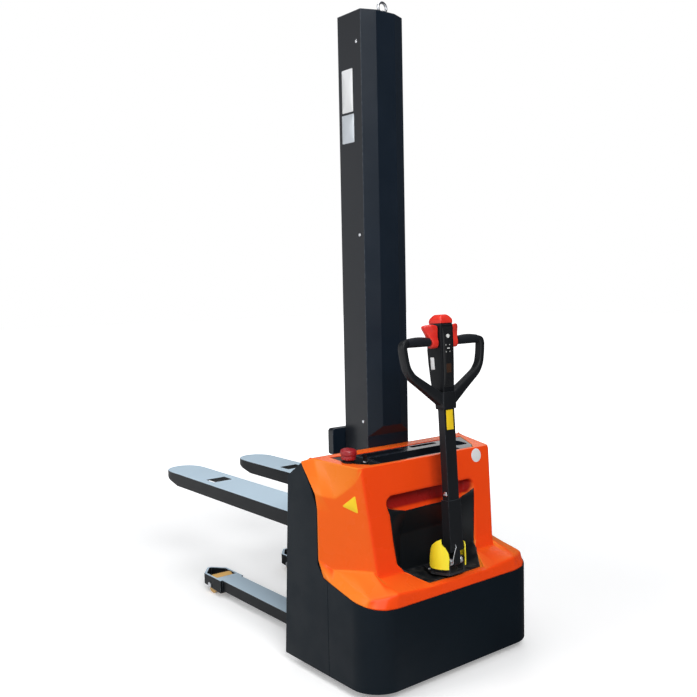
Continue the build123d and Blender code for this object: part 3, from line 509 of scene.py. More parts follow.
finishes = {
    # the hood's paler edges are a painted highlight
    "hood_orange": dict(color=(250, 76, 20), tint=(245, 70, 19), cloud=0.6, gloss=(0.24, 0.32),
        # the side colour is painted light on the hood's faces that look to either side and up
        grain=380, depth=3e-5, specular=0.11, side=(1.0, (242, 128, 42)), rub=(0.3, (255, 170, 110)),
        # the deep colour is painted shade inside the recess
        rubAndHighlightRadius=0.004, deep=(1.0, (150, 27, 23))),
    "body_black": dict(color=(10, 20, 28), tint=(13, 24, 32), gloss=(0.4, 0.52), grain=900, depth=3e-5,
        # the paler edges are a painted highlight
        specular=0.11, rub=(0.25, (66, 70, 74)), scuff=(0.12, (58, 62, 66))),
    # the mast's paler edges are a painted highlight
    "mast_black": dict(color=(20, 30, 41), tint=(24, 34, 46), gloss=(0.3, 0.42), grain=900, depth=3e-5,
        # the side colour is painted light on the mast's side faces
        specular=0.26, side=(1.0, (30, 33, 38)), rub=(0.6, (112, 122, 134)), rubAndHighlightRadius=0.005,
        scuff=(0.08, (54, 61, 70))),
    # the paler edges are a painted highlight
    "fork_black": dict(color=(18, 21, 25), tint=(22, 25, 29), gloss=(0.3, 0.38), grain=900, depth=4e-6,
        # the top colour is a painted reflection on the flat tops
        specular=0.1, top=(0.96, (200, 221, 236)), rub=(0.5, (190, 200, 212)), rubAndHighlightRadius=0.004),
    "liner_black": dict(color=(21, 24, 27), tint=(26, 29, 31), gloss=(0.28, 0.38), grain=1300,
        depth=2e-5, specular=0.15, scuff=(0.16, (70, 70, 67)), dust=0.12),
    "tiller_black": dict(color=(23, 25, 28), tint=(29, 31, 34), gloss=(0.36, 0.48), grain=1000,
        # the paler edges are a painted highlight
        depth=4e-5, specular=0.2, rub=(0.6, (92, 98, 106)), scuff=(0.08, (58, 60, 62))),
    "grip_black": dict(color=(24, 27, 32), tint=(30, 33, 38), gloss=(0.45, 0.6), grain=1500, depth=8e-5,
        specular=0.2),
    "signal_red": dict(color=(234, 56, 40), tint=(212, 36, 32), cloud=0.8, cloudScale=22,
        gloss=(0.28, 0.4), grain=900, depth=3e-5, specular=0.4, scuff=(0.06, (240, 130, 110))),
    "guard_yellow": dict(color=(255, 240, 52), tint=(252, 228, 42), cloud=0.5, gloss=(0.3, 0.42),
        grain=800, depth=3e-5, specular=0.4, scuff=(0.08, (205, 180, 60))),
    "button_white": dict(color=(236, 236, 232), tint=(222, 222, 218), gloss=(0.3, 0.4), grain=900,
        depth=2e-5),
    "roller_amber": dict(color=(240, 190, 108), tint=(226, 170, 86), cloud=0.6, cloudScale=14,
        gloss=(0.35, 0.5), grain=500, depth=5e-5, scuff=(0.2, (150, 112, 60)), scuffScale=60, dust=0.2),
    "tyre_grey": dict(color=(70, 70, 72), tint=(58, 58, 60), gloss=(0.6, 0.75), grain=700, depth=0.0001,
        specular=0.3, dust=0.3),
    "bright_steel": dict(color=(190, 192, 196), tint=(168, 170, 176), gloss=(0.22, 0.36), grain=900,
        depth=2e-5, metal=1.0, scuff=(0.2, (130, 132, 136))),
    "rod_chrome": dict(color=(212, 214, 218), tint=(198, 200, 206), gloss=(0.06, 0.12), grain=1200,
        depth=1e-5, metal=1.0),
    "dark_iron": dict(color=(58, 60, 64), tint=(48, 49, 52), gloss=(0.45, 0.6), grain=500, depth=0.0001,
        metal=0.6, rub=(0.4, (120, 120, 122))),
    "chain_steel": dict(color=(104, 102, 98), tint=(82, 80, 76), cloudScale=30, gloss=(0.32, 0.46),
        grain=800, depth=3e-5, metal=0.9),
    "pack_grey": dict(color=(88, 92, 96), tint=(76, 80, 84), gloss=(0.45, 0.6), grain=600, depth=6e-5,
        dust=0.3),
    "motor_black": dict(color=(34, 35, 38), tint=(44, 45, 48), gloss=(0.4, 0.55), grain=600, depth=6e-5,
        specular=0.3, dust=0.25),
    "plateWhite": dict(color=(232, 233, 234), tint=(225, 226, 227), gloss=(0.35, 0.45), grain=500,
        depth=1e-5),
    "plateSilver": dict(color=(196, 202, 208), tint=(180, 186, 194), gloss=(0.35, 0.5), grain=300,
        depth=2e-5, metal=0.35),
    "labelYellow": dict(color=(250, 212, 30), tint=(244, 200, 24), gloss=(0.35, 0.45), grain=500,
        depth=1e-5),
    "trayGrey": dict(color=(23, 28, 35), tint=(29, 34, 41), gloss=(0.24, 0.34), grain=900, depth=1e-5,
        # the paler edges are a painted highlight on the tray's ridges
        specular=0.3, coat=0.3, coatRough=0.06, rub=(0.6, (122, 132, 144))),
    "panelBlack": dict(color=(20, 22, 25), tint=(26, 28, 31), gloss=(0.35, 0.45), grain=900, depth=3e-5,
        specular=0.2),
    "keypadBlack": dict(color=(22, 23, 25), tint=(28, 29, 31), gloss=(0.2, 0.3), grain=900, depth=1e-5),
    "headBlack": dict(color=(17, 19, 22), tint=(22, 24, 27), gloss=(0.36, 0.48), grain=1000, depth=4e-5,
        # the paler edges are a painted highlight
        specular=0.11, rub=(0.6, (84, 90, 98)), scuff=(0.08, (52, 54, 56))),
    "displayBrown": dict(color=(62, 42, 30), tint=(50, 34, 26), gloss=(0.12, 0.2), grain=900,
        depth=1e-5),
    "stopRed": dict(color=(158, 24, 32), tint=(140, 20, 28), gloss=(0.3, 0.42), grain=900, depth=3e-5),
}


# the words of a name run together, each with a capital
def titled(name):
    return "".join(word[0].upper() + word[1:] for word in name.split("_"))


looks = {name: makeFinish(titled(name), **values) for name, values in finishes.items()}

# Every node takes the finish of its slot; the pieces below then stand in for most of those that show
slotOf = {part["node"]: part["material_slot"] for part in frame["record"]["subparts"]}
for node, slot in slotOf.items():
    mesh = nodes[node].data
    mesh.materials.clear()
    mesh.materials.append(looks[slot])
print("finishes made:", len(looks))

# Hood: a cage of corner points, filled in, then eased so that every edge is a moulded round
hood = {
    "half": 398.0, "cornerAt": 286.0, "rearAt": 112.0, "lean": 0.121, "leanFrom": 400.0, "wall": 3.5,
    "ease": 2, "cornerEase": 2, "cornerReach": 8, "cornerRows": (26, 101), "cornerPull": 0.5,
    "rowCounts": (7, 12, 2, 10, 14, 15, 6, 6, 5, 12, 14, 4, 5, 7, 8, 6),
    "colCounts": (18, 14, 15, 6, 6, 5, 5, 5, 10),
    "hem": ((0, 2), (122, 2), (190, 2), (288, 2), (332, 10), (362, 29), (383, 53.5), (397, 98), (398, 205),
            (398, 258)),
    "hemUp": 304.8, "hemRise": 0.24,
    "middle": ((24, 344), (25, 339), (183, 341), (181, 480), (146, 573), (172, 590), (173, 629),
               (140.8, 636), (150.7, 720)),
    "climb": (0, 0.02, 0.10, 0.30, 0.57, 0.66, 0.73, 0.77, 1.0), "footClimb": 0.1,
    "footZ": (377, 394, 394, 393.5, 393, 392.5, 430), "creaseZ": (738, 697, 675, 657, 639, 645, 648),
    "footShare": (0, 0.06, 0.25, 0.42, 0.57, 0.71, 1), "midShare": (0, 0.16, 0.33, 0.48, 0.6, 0.71, 1),
    "creaseShare": (0, 0.16, 0.33, 0.48, 0.64, 0.9, 1), "shoulder": (398, 297, 648),
    "tip": (398, 378, 750), "tipInner": (365, 358, 759.3), "tray": (0, 124, 204), "trayAt": 153.7,
    "trayRows": (12, 15), "trayCols": 3, "angle": 60}
# left and right differ: brow edge; recess rows of back corner and edge; ridge of the top; strips of the
# top towards the front
hoodSides = {
    "left": {
        "rearHalf": 280.0,
        "brow": ((0, 8, 337), (122, 8, 338), (190, 8, 342), (279, 6, 350), (310, 21, 346),
            (341, 36, 342.5), (371, 49, 339), (371, 125, 358), (366, 238, 389), (398, 286, 424)),
        "recess": (((118, 26, 344), (168, 110, 374)), ((117, 27, 339), (171, 111, 379)),
            ((120, 183, 341), (192, 114, 406)), ((120, 181, 480), (203, 121.7, 480)),
            ((118, 146, 571), (212, 133, 573)), ((186, 170, 592), (215, 136.8, 604)),
            ((186, 171, 627), (214.4, 138.1, 616)), ((192, 140.8, 636), (213, 139.4, 625)),
            ((150, 150.7, 720), (206, 150.7, 720))),
        "ridge": ((303, 154), (314, 166), (328, 218), (341, 268), (352, 310), (362, 346)),
        "strips": (
            (168, (204, 171), (240, 176), (306, 191), (325, 227), (335, 262), (345, 302), (357, 342)),
            (195, (204, 195), (278, 202), (303, 213), (320, 238), (333, 272), (343, 310), (355, 346)),
            (255, (204, 255), (302, 252), (313, 259), (322, 270), (333, 289), (344, 322), (355, 350)),
            (316, (204, 320), (305, 336), (315, 339), (324, 341), (335, 344), (346, 349), (356, 356)),
            (362, (204, 362), (327, 362), (333, 362), (339, 362), (345, 362), (351, 362), (358, 362)))},
    "right": {
        "rearHalf": 287.0,
        "brow": ((0, 8, 337), (140, 8, 338), (198, 8, 343), (283, 6, 352), (314, 21, 351),
            (344, 37, 349), (374, 52, 347), (372, 125, 362), (366, 238, 392), (398, 286, 424)),
        "recess": (((144, 28, 344), (185, 104, 384)), ((143, 29, 339), (187, 105, 388)),
            ((138, 183, 343), (197, 113, 412)), ((136, 181, 480), (208, 121.7, 480)),
            ((146, 146, 571), (216, 133, 573)), ((190, 170, 592), (218, 136.8, 604)),
            ((190, 171, 627), (217.4, 138.1, 616)), ((196, 140.8, 636), (216, 139.4, 625)),
            ((150, 150.7, 720), (210, 150.7, 720))),
        "ridge": ((309, 154), (318, 166), (331, 218), (342, 268), (352, 310), (362, 346)),
        "strips": (
            (168, (204, 168), (239, 168), (306, 191), (325, 227), (335, 262), (345, 302), (357, 342)),
            (195, (204, 195), (267.5, 195), (300, 207), (320, 238), (333, 272), (343, 310), (355, 346)),
            (255, (204, 255), (298.5, 255), (308, 259), (320, 269), (331, 288), (343, 322), (355, 350)),
            (316, (204, 316), (329.5, 316), (332, 320), (335, 325), (340, 335), (347, 346), (356, 356)),
            (362, (204, 362), (331, 362), (336, 362), (341, 362), (346, 362), (352, 362), (358, 362)))},
}


# half of the cage, row by row from the hem over the brow, up the recess and rear face to the ridge and top
def hoodHalf(side):
    run = (hood["cornerAt"] - hood["rearAt"]) / (hood["half"] - side["rearHalf"])
    footZ, creaseZ, footShare, midShare, creaseShare = (
        np.array(hood[key], float) for key in ("footZ", "creaseZ", "footShare", "midShare", "creaseShare"))
    hem, brow, tip, tipInner = (
        np.array(row, float) for row in (hood["hem"], side["brow"], hood["tip"], hood["tipInner"]))

    # points of the leaning corner face, at their share of the way from its rear edge to the side
    def wallRow(z, share):
        edge = side["rearHalf"] + hood["lean"] * (z - hood["leanFrom"]) / run
        x = edge + share * (hood["half"] - edge)
        return np.stack([x, hood["cornerAt"] - (hood["half"] - x) * run, z], -1)

    # points of the sloping top
    def topRow(points):
        x, v = np.array(points, float).T
        return np.stack([x, v, hoodTop["up"] + hoodTop["slope"] * (v - hoodTop["ahead"])], -1)

    rows = [np.column_stack([hem, hood["hemUp"] + hood["hemRise"] * hem[:, 1]]), brow]
    for middle, points, part in zip(hood["middle"], side["recess"], hood["climb"]):
        share = footShare + (midShare - footShare) * min(1, part / hood["footClimb"])
        wall = wallRow(footZ + part * (creaseZ - footZ), creaseShare if part == 1 else share)
        rows.append(np.vstack([[(0, *middle), *points], wall]))
    rows[-1][-1] = hood["shoulder"]
    trayEdge = topRow([(x, hood["trayAt"]) for x in hood["tray"]])
    rows.append(np.vstack([trayEdge, topRow(side["ridge"]), tip]))
    for k, (middle, *points) in enumerate(side["strips"], 1):
        strip = topRow([(x, middle) for x in hood["tray"][:2]] + points)
        rows.append(np.vstack([strip, tip + (tipInner - tip) * k / len(side["strips"])]))
    return np.stack(rows)


# both halves side by side, filled in and eased; the upright edges beside the rear face get rounder
def hoodSurface():
    left, right = hoodHalf(hoodSides["left"]), hoodHalf(hoodSides["right"])
    cage = np.concatenate([left[:, :0:-1] * [-1, 1, 1], right], 1)
    counts = hood["colCounts"]
    grid = easeGrid(fillCage(cage, hood["rowCounts"], counts[::-1] + counts), hood["ease"])
    column = np.abs(np.abs(np.arange(grid.shape[1]) - sum(counts)) - sum(counts[:3]))
    row, (low, high) = np.arange(grid.shape[0])[:, None], hood["cornerRows"]
    weight = np.clip(1 - column / hood["cornerReach"], 0, 1) * ((row > low) & (row < high))
    for _ in range(hood["cornerEase"]):
        mean = (np.roll(grid, 1, 1) + np.roll(grid, -1, 1)) / 2
        grid = grid + hood["cornerPull"] * weight[..., None] * (mean - grid)
    return grid


hoodGrid = hoodSurface()
hoodPoints = placeGrid(hoodGrid)
hoodFaces = gridFaces(*hoodPoints.shape[:2])
across = hoodPoints.shape[1] - 1
topFrom, topTo = (sum(hood["rowCounts"][:k]) for k in hood["trayRows"])
beside = sum(hood["colCounts"][hood["trayCols"]:])
rowOf, colOf = np.divmod(np.arange(len(hoodFaces)), across)
inTray = (rowOf >= topFrom) & (rowOf < topTo) & (colOf >= beside) & (colOf < across - beside)
makePiece("hoodShell", [(hoodPoints.reshape(-1, 3), hoodFaces[~inTray].tolist())], "chassis", "hood_orange",
          ("hood",), outward=False, angle=hood["angle"], wall=hood["wall"], even=False)
print("hood built")

# Black liner: the recess part of the hood's own grid, lifted off it, its top edge rising to both sides
liner = {"lift": 2.2, "wall": 1.6, "floorRow": 22.2, "midTop": 60.0, "sideTop": 66.0, "rows": 60, "rim": 2}


# the middle columns moved along their normals, read between rows from the floor up to the top edge
def linerGrid():
    inner, outer = hood["colCounts"][:2]
    middle, reach = sum(hood["colCounts"]), inner + outer - liner["rim"]
    block = hoodGrid[:, middle - reach:middle + reach + 1]
    normal = unit(np.cross(np.gradient(block, axis=1), np.gradient(block, axis=0)))
    block = block + normal * liner["lift"]
    rise = np.clip((np.abs(np.arange(-reach, reach + 1)) - inner) / outer, 0, 1)
    top = liner["midTop"] + rise * (liner["sideTop"] - liner["midTop"])
    at = liner["floorRow"] + np.linspace(0, 1, liner["rows"])[:, None] * (top - liner["floorRow"])
    low = np.floor(at).astype(int)
    part = (at - low)[..., None]
    column = np.arange(block.shape[1])
    return block[low, column] * (1 - part) + block[low + 1, column] * part


makePiece("recessLiner", [sheet(placeGrid(linerGrid()))], "chassis", "liner_black", ("recess_panel",),
          outward=False, angle=hood["angle"], wall=liner["wall"])

# Sheet metal and castings that keep their solid's shape: how far their edges are rounded
softEdges = {
    "rear_skirt": 1.6, "side_plate_left": 1.6, "side_plate_right": 1.6, "mast_cover": 1.1, "mast_head": 1.5,
    "leg_left": 2.0, "leg_right": 2.0, "fork_left": 2.6, "fork_right": 2.6, "carriage_frame": 2.0,
    "tiller_socket": 2.0, "tiller_arm": 1.2, "storage_tray": 1.2, "control_panel": 1.0, "tiller_mount": 1.2,
    "castor_fork_left": 1.0, "castor_fork_right": 1.0, "load_wheel_left": 2.0, "load_wheel_right": 2.0}
# looks that differ from the slot's own
softLooks = {"storage_tray": "trayGrey", "control_panel": "panelBlack", "tiller_mount": "dark_iron",
             "castor_fork_left": "dark_iron", "castor_fork_right": "dark_iron"}
# and the angles past which a crease stays sharp
softAngles = {"mast_cover": 15, "mast_head": 15}
# the leg's forked tip: its rear end moves forward, its nose a little on, and its lower edge rises to it
legTip = {"from": (1160, 1165, 1246, 1290, 1312, 1330, 1387),
          "to": (1160, 1198, 1247, 1290, 1312, 1341, 1400),
          "at": (1198, 1250, 1300, 1341, 1400), "base": (24, 17, 22, 34, 42), "lower": 14}


# points past the tip's start slide along the leg, and the lowest of them take the height of its lower edge
def shapeLeg(points):
    x, ahead, up = (points / mm + [0, rearShift, 0]).T
    moved = np.interp(ahead, legTip["from"], legTip["to"])
    inTip = ahead > legTip["from"][0]
    base = np.interp(moved, legTip["at"], legTip["base"])
    return place(x, np.where(inTip, moved, ahead), np.where(inTip & (up < legTip["lower"]), base, up))


for node, bevel in softEdges.items():
    name = titled(node.replace("wheel", "roller"))
    softCopy(node, name[0].lower() + name[1:], slotOf[node], bevel, softLooks.get(node),
             softAngles.get(node, 40), shapeLeg if node.startswith("leg_") else None)
print("soft-edged pieces made")

# Handle: a rounded profile carried from the bar round the corner and down to the collar
handle = {"bar": 764.0, "step": 4.0, "ease": 8, "power": 3.2, "count": 40,
          "corners": ((60, 764), (180, 766), (187.5, 756), (182, 712), (174, 678), (154, 650), (24, 564)),
          "wide": ((0, 0.26, 0.31, 0.5, 0.57, 0.68, 0.8, 0.9, 1),
                   (11, 11, 12.5, 12.2, 13.5, 15.2, 17.5, 20, 22)),
          "deep": ((0, 0.26, 0.31, 0.5, 0.6, 0.8, 1), (11, 11, 15.5, 16.5, 16.5, 17, 20)),
          "collar": ((531, 30, -21, 21, 5), (533, 31, -22, 22, 5), (547, 32, -22, 22, 5),
                     (575, 31.5, -22, 22, 5), (590, 29, -22, 22, 5))}


# a squarish ring along the eased line, its width and depth given by the share of the way
def handleSide(side):
    line = easedPath(handle["corners"], handle["step"], handle["ease"])
    run = np.linspace(0, 1, len(line))
    tangent = unit(np.gradient(line, axis=0))
    across = np.stack([-tangent[:, 1], tangent[:, 0]], -1)
    wide, deep = (np.interp(run, *handle[key])[:, None] for key in ("wide", "deep"))
    ring = ellipsePoints(power=handle["power"], count=handle["count"])
    inPlane = line[:, None] + across[:, None] * (wide * ring[:, 0])[..., None]
    return tube(onTiller(side * inPlane[..., 0], inPlane[..., 1], deep * ring[:, 1]))


makePiece("handleFrame", [handleSide(-1), handleSide(1), sectionLoft(handle["collar"])], "tiller",
          "tiller_black", ("handle_frame",))

# Grips: barrels on the bar, a little fuller in the middle, with a rolled end
grip = {"inner": 67.0, "outer": 168.0, "radius": 15.0, "belly": 2.2, "roll": 3.0, "steps": 40, "count": 36,
        "lift": 3.0, "liftFrom": 60.0, "liftOver": 120.0}


# a circle along the bar, its radius swelling and its middle lifting by half a sine wave
def gripSide(side):
    share = np.linspace(0, 1, grip["steps"])
    x = np.pad(grip["inner"] + share * (grip["outer"] - grip["inner"]), 1, "edge")[:, None]
    radius = np.pad(grip["radius"] + grip["belly"] * np.sin(np.pi * share), 1, "edge")[:, None]
    radius[[0, -1]] -= grip["roll"]
    ring = ellipsePoints(count=grip["count"])
    lift = grip["lift"] * np.sin(np.pi * np.clip((x - grip["liftFrom"]) / grip["liftOver"], 0, 1))
    return tube(onTiller(side * x, handle["bar"] + lift + radius * ring[:, 1], radius * ring[:, 0]))


makePiece("gripSleeves", [gripSide(-1), gripSide(1)], "tiller", "grip_black")

# Control head: rounded sections that grow towards the top
headSections = (
    (572, 25.5, -19, 36, 5), (590, 26.8, -20.5, 39, 6), (630, 28.4, -21.5, 44, 6),
    (690, 30.6, -23.2, 48, 6), (735, 31.6, -24.2, 49, 6), (790, 31.4, -25.4, 43, 6),
    (817, 31, -26, 38, 6), (821.8, 30.4, -25.4, 37, 5), (822, 29.6, -24.8, 35.6, 4),
    (812, 29.5, -24.7, 35.5, 4))
makePiece("headShell", [sectionLoft(headSections)], "tiller", "tiller_black", ("head_shell",),
          look="headBlack")

# Red cap on a dark neck: its edges fall away in broad chamfers
capSections = ((826.4, 29, -25, 34, 6), (827.2, 30.8, -26.6, 35.8, 7), (834, 30.8, -26.8, 35.8, 7),
               (840.5, 29.4, -25.8, 34, 7), (846, 26, -23.2, 31, 7), (850.5, 22, -20.4, 27.6, 7),
               (854, 17.5, -17.2, 24.6, 6), (856.2, 14.5, -14.6, 22.2, 5), (857, 11, -12, 20, 4))
neckSections = ((817, 28.9, -24.1, 33.9, 4), (829, 28.9, -24.1, 33.9, 4))
makePiece("bellyCap", [sectionLoft(capSections)], "belly_switch", "signal_red", ("belly_button",))
makePiece("capNeck", [sectionLoft(neckSections)], "belly_switch", "signal_red", look="tiller_black")

# Throttle paddles: a section round the bar, drawn up into a wing that thins and flares outwards
paddle = {"inner": 33.0, "outer": 61.0, "up": 60.0, "down": 22.0, "thick": 16.5, "lean": 0.05,
          "flare": 30.0, "flarePower": 1.2, "turnIn": -15.0, "turnOut": 12.0, "turnPower": 1.3,
          "ridge": -6.0, "ridgeAt": 0.45, "ridgeReach": 0.55, "waist": 0.42, "waistReach": 0.9,
          "crown": (0.90, 0.10), "upPower": 0.8, "thickPower": 0.7, "count": 64, "steps": 16,
          "ends": (0, 0.02, 0.06, 0.12), "swell": (0.8, 0.92, 0.98)}


# an upright oval per step outwards: its upper half is tall and waisted, leans ahead and twists with height
def paddleSide(side):
    turn, swell = fullTurn(paddle["count"]), np.array(paddle["swell"])
    *ends, first = paddle["ends"]
    between = np.linspace(first, 1 - first, paddle["steps"])
    share = np.concatenate([ends, between, 1 - np.array(ends[::-1])])[:, None]
    swell = np.concatenate([swell, np.ones(paddle["steps"]), swell[::-1]])[:, None]
    c, s = np.cos(turn), np.sin(turn)
    base, crown = paddle["crown"]
    tall = np.where(s > 0, paddle["up"] * (base + crown * np.sin(np.pi * share)), paddle["down"])
    h = np.sign(s) * np.abs(s) ** paddle["upPower"] * tall * swell
    high = np.clip(h / paddle["up"], 0, 1)
    waist = np.sin(np.pi * np.clip(high * paddle["waistReach"], 0, 1)) ** paddle["upPower"]
    slim = 1 - paddle["waist"] * waist
    d = np.sign(c) * np.abs(c) ** paddle["thickPower"] * paddle["thick"] * slim * swell
    d = d + paddle["lean"] * np.clip(h, 0, None)
    x = paddle["inner"] + share * (paddle["outer"] - paddle["inner"])
    x = x + paddle["flare"] * share * high ** paddle["flarePower"]
    ridge = paddle["ridge"] * (1 - np.abs(share - paddle["ridgeAt"]) / paddle["ridgeReach"])
    twist = paddle["turnIn"] * (1 - share) + paddle["turnOut"] * share + ridge
    return tube(onTiller(side * x, handle["bar"] + h, d + twist * high ** paddle["turnPower"]))


for label, side in (("Left", -1), ("Right", 1)):
    makePiece("throttle" + label, [paddleSide(side)], "throttle", "signal_red",
              ("throttle_" + label.lower(),), angle=50)
print("tiller head built")

# Keypad, display and button marks on the head's rear face, which leans with the head's own taper
headRows = np.array(headSections[:7]).T


# a point n out from the head's rear face
def onHeadRear(x, h, n):
    return onTiller(x, h, np.interp(h, headRows[0], headRows[2]) - n)


keypad = {"low": (-23, 606), "high": (23, 815), "corner": 5, "thick": 0.8, "edge": 0.4, "sink": 1.0}
display = {"low": (-10, 656), "high": (13, 687), "corner": 2, "thick": 1.1, "edge": 0.3}
dot = {"radii": (1.9, 1.9, 1.3), "heights": (0, 1.0, 1.4), "count": 16,
       "at": ((-9, 752), (9, 752), (-9, 728), (9, 728))}
makePiece("keypadPlate", [plate(keypad, onHeadRear)], "tiller", "tiller_black", look="keypadBlack")
makePiece("displayPane", [plate(display, onHeadRear)], "tiller", "tiller_black", look="displayBrown")
makePiece("keyDots", [turned(dot, onHeadRear, at) for at in dot["at"]], "tiller", "button_white")

rocker = {"low": (-11.5, 734), "high": (11.5, 746), "corner": 2, "thick": 3.6, "edge": 1.2}
mark = {"low": (-6, 738.3), "high": (6, 741.7), "corner": 0.8, "thick": 0.4, "edge": 0.15}


# a point n out from the rocker's face
def onRocker(x, h, n):
    return onHeadRear(x, h, rocker["thick"] + n)


rockerBody = nodes["lift_rocker"]["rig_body"]
makePiece("liftRocker", [plate(rocker, onHeadRear)], rockerBody, "button_white", ("lift_rocker",),
          look="keypadBlack")
makePiece("rockerMark", [plate(mark, onRocker)], rockerBody, "button_white")

headLabel = {"low": (14, 668), "high": (32, 710), "corner": 1.5, "thick": 0.5, "edge": 0.2, "sink": 1.0}
horn = {"radii": (7, 7, 6.2, 4.5, 2), "heights": (-3, 3.4, 4.2, 4.6, 4.8), "count": 28, "at": (0, 782)}


# a point n out from the head's left face
def onHeadLeft(y, h, n):
    return onTiller(-np.interp(h, headRows[0], headRows[1]) - n, h, y)


makePiece("headLabel", [plate(headLabel, onHeadLeft)], "tiller", "button_white", look="plateWhite")
makePiece("hornButton", [turned(horn, onHeadRear, horn["at"])], "horn", "button_white", ("horn_button",))

# Plain plates on the arm and the mast
arm = {"rear": -15.0, "left": -25.5}
mast = {"half": 100.0, "top": 2338.0}
armLabel = {"low": (-16, 459), "high": (17, 528), "corner": 2, "thick": 0.5, "edge": 0.2}
mastPlates = {
    "plateWhite": {"low": (418, 1986), "high": (480, 2140), "corner": 3, "thick": 0.6, "edge": 0.3},
    "plateSilver": {"low": (414, 1876), "high": (483, 1978), "corner": 3, "thick": 0.6, "edge": 0.3}}


# a point n out from the arm's rear face
def onArmRear(x, h, n):
    return onTiller(x, h, arm["rear"] - n)


# points n out from the mast's left (-1) or right (1) face
def onMastSide(side):
    def onto(ahead, up, n):
        return place(side * (mast["half"] + n), ahead, up)
    return onto


makePiece("armLabel", [plate(armLabel, onArmRear)], "tiller", "guard_yellow", look="labelYellow")
for look, size in mastPlates.items():
    makePiece("mast" + titled(look), [plate(size, onMastSide(-1))], "chassis", "mast_black", look=look)

# Cover screws: domed heads with a shallow dimple
screw = {"radii": (6.4, 6.4, 5.6, 3.6, 1.6, 0.8), "heights": (0, 1.2, 2.0, 2.5, 2.4, 1.8), "count": 20,
         "ahead": 393, "up": (854, 1540, 2229)}
screws = [turned(screw, onMastSide(side), (screw["ahead"], up)) for side in (-1, 1) for up in screw["up"]]
makePiece("coverScrews", screws, "chassis", "bright_steel", ("cover_screws",))

# Lifting ring: a wire carried round a circle, on a stepped foot
ring = {"at": 364.0, "up": 2355.0, "radius": 19.0, "wire": 4.8, "steps": 48, "count": 18}
ringFoot = {"radii": (12, 12, 10.5, 7, 5.5), "heights": (-4, 3.2, 4.6, 5.2, 7), "count": 40}
around, section = fullTurn(ring["steps"])[:, None], fullTurn(ring["count"])
reach = ring["radius"] + ring["wire"] * np.cos(section)
ringGrid = place(reach * np.cos(around), ring["at"] + ring["wire"] * np.sin(section),
                 ring["up"] + reach * np.sin(around))


# a point n above the mast's top
def onMastTop(x, y, n):
    return place(x, ring["at"] + y, mast["top"] + n)


makePiece("liftingRing", [tube(ringGrid, True), turned(ringFoot, onMastTop)], "chassis", "bright_steel",
          ("lifting_eye",))

# Yellow guards: an upright shield bowed outwards in plan; the left one has a hooked top
guard = {"front": (65.0, 77.0), "bow": (74.0, 36.0), "rear": (40.0, 8.0), "foot": 378.0, "wall": 4.0,
         "edge": 0.9, "grid": (36, 90), "heel": 6, "heelShare": 0.15, "pull": 0.10, "pullFrom": 0.4,
         "pullPower": 1.5, "inward": {"Left": -8.0, "Right": 5.0},
         "share": (0, 0.03, 0.12, 0.25, 0.42, 0.65, 0.67, 0.83, 0.96, 1.0),
         "top": {"Left": (58, 66, 79, 88, 97, 106, 87, 76, 58, 38),
                 "Right": (58, 62, 68, 72, 75, 76, 76, 70, 58, 38)}}


# a curve of three points in plan, raised to a top line; the upper part draws in a little
def guardSheet(label, side):
    climb, share = np.linspace(0, 1, guard["grid"][0])[:, None], np.linspace(0, 1, guard["grid"][1])
    p, q, r = (np.array(guard[key]) - [guard["inward"][label], 0] for key in ("front", "bow", "rear"))
    s = share[:, None]
    x, ahead = ((1 - s) ** 2 * p + 2 * s * (1 - s) * q + s ** 2 * r).T
    top = np.interp(share, guard["share"], guard["top"][label])
    heel = guard["heel"] * np.clip(1 - share / guard["heelShare"], 0, 1) ** 2
    pull = 1 - guard["pull"] * np.clip(climb - guard["pullFrom"], 0, 1) ** guard["pullPower"]
    return sheet(place(side * x * pull, ahead, guard["foot"] + heel + climb * (top - heel)))


for label, side in (("Left", -1), ("Right", 1)):
    mesh = makeMesh("guard" + label, [guardSheet(label, side)], False)
    if side > 0:
        mesh.flip_normals()
    finishPiece("guard" + label, mesh, "drive_unit", "guard_yellow", ("guard_" + label.lower(),),
                wall=guard["wall"], bevel=guard["edge"])

# Return springs: a wire wound round the pin on both sides of the socket
spring = {"inner": 14.5, "outer": 30.0, "radius": 12.0, "wire": 1.9, "turns": 4, "steps": 160, "count": 10}


# a helix about the pin, swept by the wire
def springSide(side):
    turn = np.linspace(0, 2 * np.pi * spring["turns"], spring["steps"])
    x = side * np.linspace(spring["inner"], spring["outer"], len(turn))
    path = np.stack([x, spring["radius"] * np.cos(turn), spring["radius"] * np.sin(turn)], -1)
    out = np.stack([0 * turn, np.cos(turn), np.sin(turn)], -1)
    x, d, h = np.moveaxis(wireGrid(path, out, spring["wire"], spring["count"]), -1, 0)
    return tube(onTiller(x, h, d))


makePiece("returnSprings", [springSide(-1), springSide(1)], "tiller", "bright_steel", ("return_spring",))

# Spring leg: a bent wire from the left coil up into the socket's rear face
springLeg = {"corners": ((-24, 19, 394), (-26, 11, 404), (-23.5, 9.5, 420), (-18, 9, 437), (-10, 9.5, 452),
                         (-8, 19, 457)), "step": 1.5, "ease": 12, "across": (0.35, 1.0, 0.0), "count": 12}
legPath = easedPath(springLeg["corners"], springLeg["step"], springLeg["ease"])
legSide = unit(np.cross(unit(np.gradient(legPath, axis=0)), springLeg["across"]))
legGrid = wireGrid(legPath, legSide, spring["wire"], springLeg["count"])
makePiece("springLeg", [tube(placeGrid(legGrid))], "tiller", "bright_steel")

# Base bolts: domed heads on the swivelling base plate, one to each side
baseBolt = {"radii": (4.6, 4.6, 4.0, 2.4, 0.6), "heights": (359.6, 362, 363.4, 364.2, 364.5), "count": 24,
            "at": ((-52, 101), (52, 101))}
makePiece("baseBolts", [turned(baseBolt, place, at) for at in baseBolt["at"]], "drive_unit", "bright_steel",
          look="button_white")

